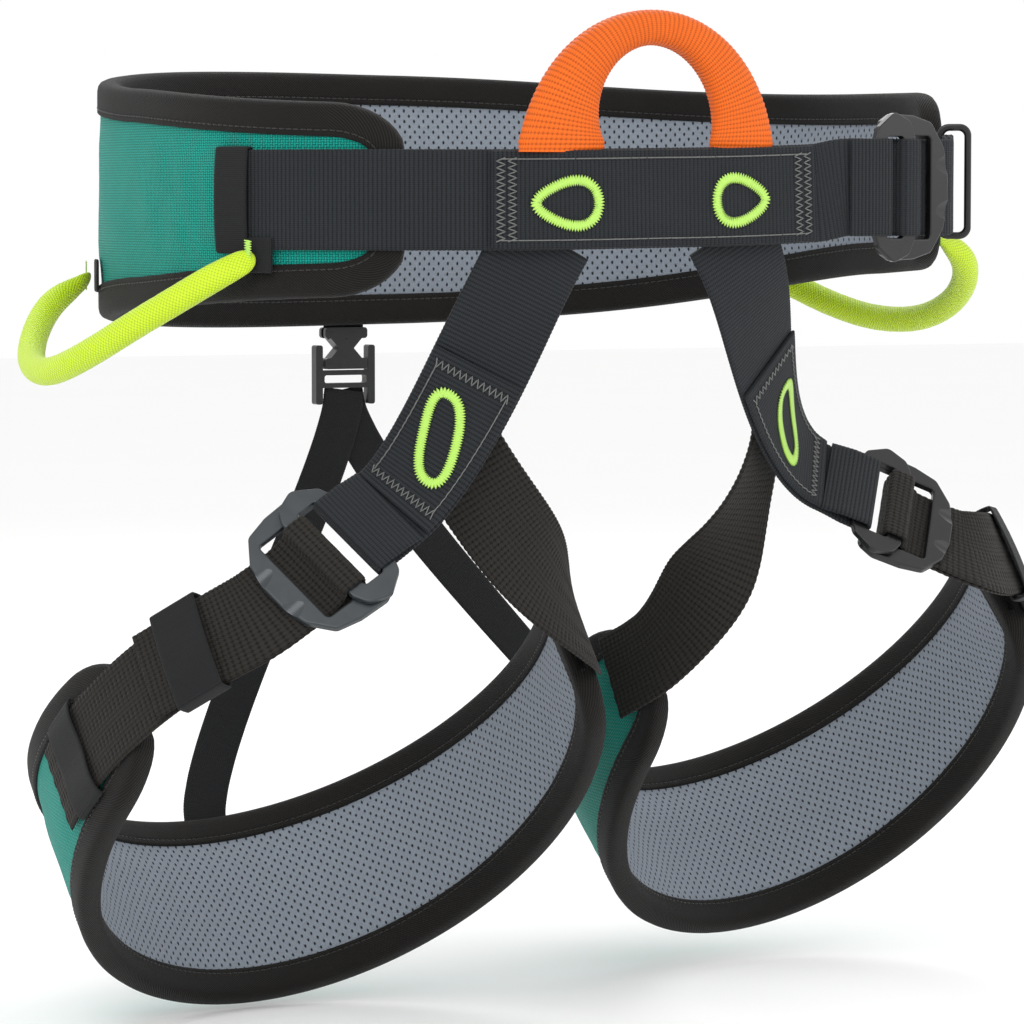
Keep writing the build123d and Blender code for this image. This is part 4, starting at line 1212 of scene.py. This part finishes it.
class HARNESS_OT_waist_webbing(bpy.types.Operator):
    """Model the belt webbing, the doubled front panel and the adjusting strap"""
    bl_idname = "harness.waist_webbing"
    bl_label = "Waist Webbing"

    def execute(self, context):
        pitch, height = sizes().rib_pitch, sizes().rib_height
        seat = waist_seat()
        lead = belts(WEB_START, PANEL[1], WEB / 2)
        near = bridge(belt(PANEL[1], WEB / 2), seat.moved(along=-BUCKLE_LEAD), 6)
        ribbed_strap("belt_web", anchored(lead + near[1:], seat), WAIST_HALF, pitch, height,
                     COLUMNS, belt_webbing(), "waist", ("waist_webbing",))
        ribbed_strap("belt_front_panel", belts(*PANEL, WEB / 2 + PLY), DOUBLER_HALF, pitch,
                     height, COLUMNS, belt_webbing(), "waist", ("front_panel",))
        settled = WAIST_SEAT_TURN + WAIST_SETTLE
        join = bridge(adjusting_start(seat), belt(settled, WEB / 2), 8)
        sewn = join + belts(settled, STRAP_END, WEB / 2)[1:]
        tail = join + belts(settled, TAIL_END, WEB / 2)[1:]
        ribbed_strap("belt_adjusting_web", adjusted(sewn, seat, tail), WAIST_HALF, pitch, height,
                     COLUMNS, belt_webbing(), "waist", ("waist_strap",))
        return {"FINISHED"}


class HARNESS_OT_risers(bpy.types.Operator):
    """Model the risers with their doublers, which bend at the foot of the belt"""
    bl_idname = "harness.risers"
    bl_label = "Risers"

    def execute(self, context):
        pitch, height = sizes().rib_pitch, sizes().rib_height
        for leg in LEGS:
            frames = leg.riser()
            top = frames[0].moved(along=-RISER_HIDDEN)
            piece = ribbed_strap(f"{leg.name}_riser_web", anchored([top] + frames, leg.seat()),
                                 WAIST_HALF, pitch, height, COLUMNS, belt_webbing(),
                                 nodes=(f"{leg.name}_riser",))
            tuple(frames[RISER_BEND].o)
            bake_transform(piece)
            doubled = [frame.moved(out=PLY) for frame in frames[DOUBLER_FROM:]]
            doubled[-1] = doubled[-1].moved(along=-0.0016)
            ribbed_strap(f"{leg.name}_doubler_web", doubled, DOUBLER_HALF, pitch, height,
                         COLUMNS, belt_webbing(), leg.body, (f"{leg.name}_riser_doubler",))
        return {"FINISHED"}


TAIL_REACH = 0.022                       # the tail's end past its keeper


class HARNESS_OT_leg_straps(bpy.types.Operator):
    """Model the adjusting straps and the inner straps of both leg loops"""
    bl_idname = "harness.leg_straps"
    bl_label = "Leg Straps"

    def execute(self, context):
        pitch = sizes().coarse_pitch
        for leg in LEGS:
            sewn = leg.strap()
            tail = sewn[:leg.keeper + 1] + [sewn[leg.keeper].moved(along=TAIL_REACH)]
            ribbed_strap(f"{leg.name}_adjusting_web", adjusted(sewn, leg.seat(), tail), LEG_HALF,
                         pitch, LEG_RIB, COLUMNS, leg_webbing(), leg.body,
                         (f"{leg.name}_strap",), basket=LEG_BASKET)
            ribbed_strap(f"{leg.name}_inner_web", leg.inner_strap(), LEG_HALF, pitch, LEG_RIB,
                         COLUMNS, leg_webbing(), leg.body, (f"{leg.name}_inner_strap",),
                         basket=LEG_BASKET,
                         tuck=INNER_TUCK if leg.toward < 0 else 0.0)
        return {"FINISHED"}


SLEEVE_BEND, BAND_STATION = 0.0009, 0.0003
BAND_PITCH, BAND_RIB, BAND_COLUMNS = 0.0010, 0.00012, 16
# Each sleeve's half width inside, its play over the straps and half its length along them.
BELT_BAND, TAIL_BAND = (0.0202, 0.0001, 0.0086), (0.0203, 0.0010, 0.0112)
BELT_BAND_TURN = 206.75
PAD_BAND_STEPS = (-4.5, 0, 4.5)
# Side view of a pad's band: across the strap and out, turned down over its edges.
PAD_BAND = ((-0.0225, -0.0022), (-0.0208, -0.0006), (-0.019, 0.0), (0.0, 0.0002), (0.019, 0.0),
            (0.0208, -0.0006), (0.0225, -0.0022))


def sleeve_run(middle, half, inside, outside, wall):
    """A closed band's centre line round a strap: its stations travel across the width."""
    thick = wall / 2
    corners = [(half + thick, inside - thick), (half + thick, outside + thick),
               (-half - thick, outside + thick), (-half - thick, inside - thick)]
    line = rounded([(0, inside - thick), *corners, (0, inside - thick)], SLEEVE_BEND, 5)
    places = []
    for k, (x, y) in enumerate(line):
        before, after = line[max(k - 1, 0)], line[min(k + 1, len(line) - 1)]
        places.append(Place(middle.o + middle.x * x + middle.y * y, middle.z,
                            middle.x * (after[0] - before[0]) + middle.y * (after[1] - before[1])))
    return run_of(places, BAND_STATION)


class HARNESS_OT_keepers(bpy.types.Operator):
    """Model the elastic keepers round the straps"""
    bl_idname = "harness.keepers"
    bl_label = "Keepers"

    def execute(self, context):
        wall = sizes().tape_thickness
        half, play, reach = BELT_BAND
        self.sleeve("belt_keeper_band", belt(BELT_BAND_TURN), half, -play, WEB + play, wall,
                    reach, "waist", "side_keeper")
        half, play, reach = TAIL_BAND
        for leg in LEGS:
            place = leg.strap()[leg.keeper]
            self.sleeve(f"{leg.name}_tail_band", place, half, -WEB / 2 - play,
                        WEB / 2 + PLY + play, wall, reach, f"{leg.name}_tail_keeper",
                        f"{leg.name}_tail_keeper")
            first, middle, last = (leg.place(leg.pad_keeper + step, WEB + GAP + wall / 2)
                                   for step in PAD_BAND_STEPS)
            run = run_of([Place(middle.o + middle.x * x + middle.y * y, middle.z, middle.x)
                          for x, y in PAD_BAND], BAND_STATION)
            outline = ribbed(run, np.linalg.norm(last.o - first.o) / 2, wall, BAND_PITCH,
                             BAND_RIB, BAND_COLUMNS)
            piece = swept(f"{leg.name}_pad_band", run, outline)
            finished(piece, fine_tape(), leg.body, (f"{leg.name}_pad_keeper",))
        return {"FINISHED"}

    def sleeve(self, name, middle, half, inside, outside, wall, reach, body, node):
        run = sleeve_run(middle, half, inside, outside, wall)
        piece = swept(name, run, ribbed(run, reach, wall, BAND_PITCH, BAND_RIB, BAND_COLUMNS))
        finished(piece, fine_tape(), body, (node,))


ELASTIC_HALF, ELASTIC_PITCH, ELASTIC_LAP, ELASTIC_LAY = 0.010, 0.0011, 0.024, 0.0008
PLUG_REACH, HANGER_OUT = 0.0095, 0.0008
HANGER_HEIGHTS = (-0.030, -0.038, -0.045, -0.052, -0.0585)


class HARNESS_OT_rear_elastics(bpy.types.Operator):
    """Model the rear elastics and the hanger of the release buckle"""
    bl_idname = "harness.rear_elastics"
    bl_label = "Rear Elastics"

    def execute(self, context):
        wall = sizes().tape_thickness
        for leg in LEGS:
            below = SOCKET_TOP - SOCKET_TALL - PLUG_REACH
            start = hanging(REAR_TURN, below).moved(out=HANGER_OUT + ELASTIC_LAY * leg.toward)
            ring = leg.place(leg.rear, wall / 2 + GAP)
            reach = leg.pad_half(leg.rear)
            end = Place(ring.o + ring.x * (reach - ELASTIC_LAP), ring.z, -ring.x)
            edge = end.moved(along=-ELASTIC_LAP)
            frames = bridge(start, edge, 14, 0.5) + [end]
            piece = ribbed_strap(f"{leg.name}_elastic_web", frames, ELASTIC_HALF, ELASTIC_PITCH,
                                 0.00012, 14, elastic(), nodes=(f"{leg.name}_rear_elastic",),
                                 thickness=wall)
            tuple(start.o)
            tuple(edge.o)
            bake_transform(piece)
        hang = [hanging(REAR_TURN, height, HANGER_OUT) for height in HANGER_HEIGHTS]
        ribbed_strap("rear_hanger_web", hang, ELASTIC_HALF, ELASTIC_PITCH, 0.00010, 14, elastic(),
                     "waist", ("rear_hanger",), thickness=wall)
        return {"FINISHED"}


LOOP_TURNS, LOOP_OUT, LOOP_LIFT, LOOP_RISE = (257.5, 275.5), 0.0015, 0.0233, 0.045
LOOP_DROPS = (0.0045, 0.0022)            # how far the feet go down behind the panel's edge
LOOP_FEET = (0.0140, 0.0185)             # half widths of the two feet
TUBE_WIDE, TUBE_DEEP, FOOT_DEEP, TUBE_SQUARE = 0.0068, 0.0072, 0.0023, 2.6
LOOP_RIB_PITCH = 0.0019


class HARNESS_OT_tie_in_loop(bpy.types.Operator):
    """Model the tubular tie-in loop, flat at its feet and creased along its middle"""
    bl_idname = "harness.tie_in_loop"
    bl_label = "Tie-in Loop"

    def execute(self, context):
        feet = [belt(turn, LOOP_OUT).o for turn in LOOP_TURNS]
        middle = (feet[0] + feet[1]) / 2
        half_span, lift = (feet[1][0] - feet[0][0]) / 2, LOOP_LIFT
        line, widths = [], []
        for drop in LOOP_DROPS:
            line.append((middle[0] + half_span, middle[1], lift - drop))
            widths.append((1.0, 0.0, 0.0))
        for turn in np.linspace(0, math.pi, 61):
            c, s = math.cos(turn), math.sin(turn)
            line.append((middle[0] + half_span * c, middle[1], lift + LOOP_RISE * s))
            widths.append((LOOP_RISE * c / half_span, 0.0, s))
        for drop in reversed(LOOP_DROPS):
            line.append((middle[0] - half_span, middle[1], lift - drop))
            widths.append((-1.0, 0.0, 0.0))
        run = Run(line, widths, 0.0004)
        rise = np.clip((run.o[:, 2] - lift) / LOOP_RISE, 0.0, 1.0)
        flat = np.clip(1 - rise**0.85, 0.0, 1.0)
        foot = np.where(run.s < run.total / 2, *LOOP_FEET)
        wide = TUBE_WIDE + (foot - TUBE_WIDE) * flat
        deep = TUBE_DEEP + (FOOT_DEEP - TUBE_DEEP) * flat ** 1.6
        below = np.clip((lift - run.o[:, 2]) / 0.004, 0.0, 1.0)
        deep = deep * (1 - below) + 0.0009 * below
        angle = np.linspace(0, 2 * math.pi, 57)
        rib = np.abs(np.cos(np.pi * run.s / LOOP_RIB_PITCH))[:, None] * 0.00032
        crease = 0.0011 * np.exp(-((np.sin(angle / 2 + math.pi / 4) ** 2
                                    - 0.5) / 0.045) ** 2)[None] * (1 - 0.6 * flat[:, None])
        c, s = np.cos(angle)[None], np.sin(angle)[None]
        square = (np.abs(c) ** TUBE_SQUARE + np.abs(s) ** TUBE_SQUARE) ** (-1 / TUBE_SQUARE)
        outline = np.stack(((wide[:, None] + rib - crease * 0.2) * c * square,
                            (deep[:, None] + rib - crease) * s * square), 2)
        piece = swept("tie_in_webbing_loop", run, outline)
        cloth = woven("orange_webbing", tuple(colours().tie_in), LOOP_RIB_PITCH * 1000, 0.8,
                      0.00022, valley_shade=0.42, roughness=0.55, gloss=0.25, lit_ridge_gain=1.05)
        finished(piece, cloth, None, ("tie_in_loop",))
        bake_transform(piece)
        return {"FINISHED"}


DROPS = ((258.2, (0.0262, 0.0170)), (275.0, (-0.0225, 0.0170)))   # turn and size of each drop
DROP_RISE = -0.0015
RING_SIZE, RING_SLANT = (0.034, 0.015), 0.32
PANEL_INSET, RISER_INSET = (0.0035, 0.0035), (0.006, 0.004)       # from the ends and the edges
ZIGZAG_WIDE, ZIGZAG_PITCH, ZIGZAG_STEP, ZIGZAG_EDGE = 0.0036, 0.0013, 0.0046, 0.003
SATIN_WIDE, SATIN_PITCH = 0.0040, 0.00052


class HARNESS_OT_stitching(bpy.types.Operator):
    """Sew the grey rows, zigzags and lime bartacks on the panel and the risers"""
    bl_idname = "harness.stitching"
    bl_label = "Stitching"

    def execute(self, context):
        top = sizes().web_thickness / 2
        self.rows("belt_front_panel", "waist", top, PANEL_INSET, ends=2)
        panel = RUNS["belt_front_panel"]
        rings = [teardrop((distance_to(panel, belt(turn, 0.003).o), DROP_RISE), size)
                 for turn, size in DROPS]
        self.satin("belt_front_panel", "waist", top, rings)
        for leg in LEGS:
            name = f"{leg.name}_doubler_web"
            run = RUNS[name]
            self.rows(name, leg.body, top, RISER_INSET, ends=1)
            ring = lozenge((run.total * 0.50, 0.0), RING_SIZE, -RING_SLANT * leg.toward)
            self.satin(name, leg.body, top, [ring])
        return {"FINISHED"}

    def rows(self, name, body, top, inset, ends):
        """Running stitches along both edges and zigzags across both ends."""
        run, radius = RUNS[name], sizes().thread_radius
        half = DOUBLER_HALF
        made = []
        for side in (-1, 1):
            edge = side * (half - inset[1])
            s, x = straight([(inset[0], edge), (run.total - inset[0], edge)])
            made.append(thread(f"{name}_row", run, s, x, top + 0.00022, radius, 0.0034))
        for at in (inset[0], run.total - inset[0]):
            for extra in range(ends):
                inward = 1 if at < run.total / 2 else -1
                place = at + inward * extra * ZIGZAG_STEP
                s, x = zigzag([(place, -half + ZIGZAG_EDGE), (place, half - ZIGZAG_EDGE)],
                              ZIGZAG_WIDE, ZIGZAG_PITCH)
                made.append(thread(f"{name}_zigzag", run, s, x, top + 0.00028, radius))
        finished(joined(made, f"{name}_stitching"),
                 sewing("grey_thread", tuple(colours().stitch), 0.5), body)

    def satin(self, name, body, top, rings):
        run, radius = RUNS[name], sizes().bartack_radius
        made = []
        for ring in rings:
            s, x = zigzag(ring, SATIN_WIDE, SATIN_PITCH, 5)
            made.append(thread(f"{name}_satin", run, s, x, top + 0.00042, radius))
        finished(joined(made, f"{name}_bartacks"),
                 sewing("lime_thread", tuple(colours().bartack), 0.36), body)


def distance_to(run, point):
    return run.s[np.argmin(np.linalg.norm(run.o - point, axis=1))]


GREY_NODES = ("left_buckle_plate", "left_buckle_frame")
BLACK_NODES = ("waist_buckle_plate", "waist_buckle_frame", "right_buckle_plate",
               "right_buckle_frame", "waist_slider")
PLASTIC_NODES = ("rear_socket", "rear_plug")


class HARNESS_OT_hardware(bpy.types.Operator):
    """Finish the buckles, the slider and the rear release buckle"""
    bl_idname = "harness.hardware"
    bl_label = "Hardware"

    def execute(self, context):
        grey = coated_metal("grey_coated_metal", tuple(colours().metal_grey), 0.3375, 0.36,
                            (0.42, 0.45, 0.47))
        black = coated_metal("black_coated_metal", tuple(colours().metal_black), 0.09, 0.30,
                             (0.16, 0.16, 0.17))
        plastic = moulded("moulded_black", tuple(colours().plastic))
        for nodes, material in ((GREY_NODES, grey), (BLACK_NODES, black),
                                (PLASTIC_NODES, plastic)):
            for node in nodes:
                slots = frame["nodes"][node].data.materials
                slots.clear()
                slots.append(material)
        return {"FINISHED"}


FLOOR_SIZE, FLOOR_GAP = 16.0, 0.0005
LIT_POINT = (0.0, 0.0, -0.12)
# Each lamp's name, place, power in watts and side in metres.
LAMPS = (
    ("key", (-1.3, -1.5, 1.5), 17.0, 1.1),
    ("fill", (1.7, -1.3, 0.7), 7.0, 1.4),
    ("rim", (0.5, 1.6, 1.4), 10.0, 1.2),
    ("front", (0.0, -2.4, 0.3), 3.0, 1.6),
)


class HARNESS_OT_stage(bpy.types.Operator):
    """Lay a plain pale floor and soft studio lights"""
    bl_idname = "harness.stage"
    bl_label = "Stage"

    def execute(self, context):
        deselect()
        ground = CAD_BOX[0][2] - FLOOR_GAP
        bpy.ops.mesh.primitive_plane_add(size=FLOOR_SIZE, location=(0.0, 0.0, ground))
        floor = context.object
        floor.name = "floor"
        look = Finish("pale_floor", 0.9)
        look.paint(look.mix(look.noise(3.0, 2.0), tuple(colours().floor),
                            shade(tuple(colours().floor), 0.985)))
        floor.data.materials.append(look.material)
        world = context.scene.world or bpy.data.worlds.new("studio")
        context.scene.world = world
        world.use_nodes = True
        sky = world.node_tree.nodes["Background"]
        sky.inputs[0].default_value = (1.0, 1.0, 1.0, 1.0)
        sky.inputs[1].default_value = 1.0
        for name, place, power, size in LAMPS:
            data = bpy.data.lights.new(name, "AREA")
            data.energy, data.size = power, size
            lamp = bpy.data.objects.new(name, data)
            context.scene.collection.objects.link(lamp)
            lamp.location = place
            look_from(lamp, LIT_POINT)
        context.scene.view_settings.view_transform = "Standard"
        return {"FINISHED"}


OPERATORS = (
    HARNESS_OT_camera, HARNESS_OT_gear_loops, HARNESS_OT_waist_pad, HARNESS_OT_leg_pads,
    HARNESS_OT_waist_webbing, HARNESS_OT_risers, HARNESS_OT_leg_straps, HARNESS_OT_keepers,
    HARNESS_OT_rear_elastics, HARNESS_OT_tie_in_loop, HARNESS_OT_stitching, HARNESS_OT_hardware,
    HARNESS_OT_stage,
)


class HARNESS_PT_panel(bpy.types.Panel):
    """Lists the harness's pieces in the order in which they are made"""
    bl_idname = "HARNESS_PT_panel"
    bl_label = "Climbing Harness"
    bl_space_type = "VIEW_3D"
    bl_region_type = "UI"
    bl_category = "Harness"

    def draw(self, context):
        for operator in OPERATORS:
            self.layout.operator(operator.bl_idname)


CLASSES = (HarnessSizes, HarnessColours, *OPERATORS, HARNESS_PT_panel)


def register():
    for made in CLASSES:
        bpy.utils.register_class(made)
    bpy.types.Scene.harness_sizes = bpy.props.PointerProperty(type=HarnessSizes)
    bpy.types.Scene.harness_colours = bpy.props.PointerProperty(type=HarnessColours)


def unregister():
    del bpy.types.Scene.harness_colours
    del bpy.types.Scene.harness_sizes
    for made in reversed(CLASSES):
        bpy.utils.unregister_class(made)


def main():
    register()
    for operator in OPERATORS:
        group, action = operator.bl_idname.split(".")
        getattr(getattr(bpy.ops, group), action)()


if __name__ == "__main__":
    main()
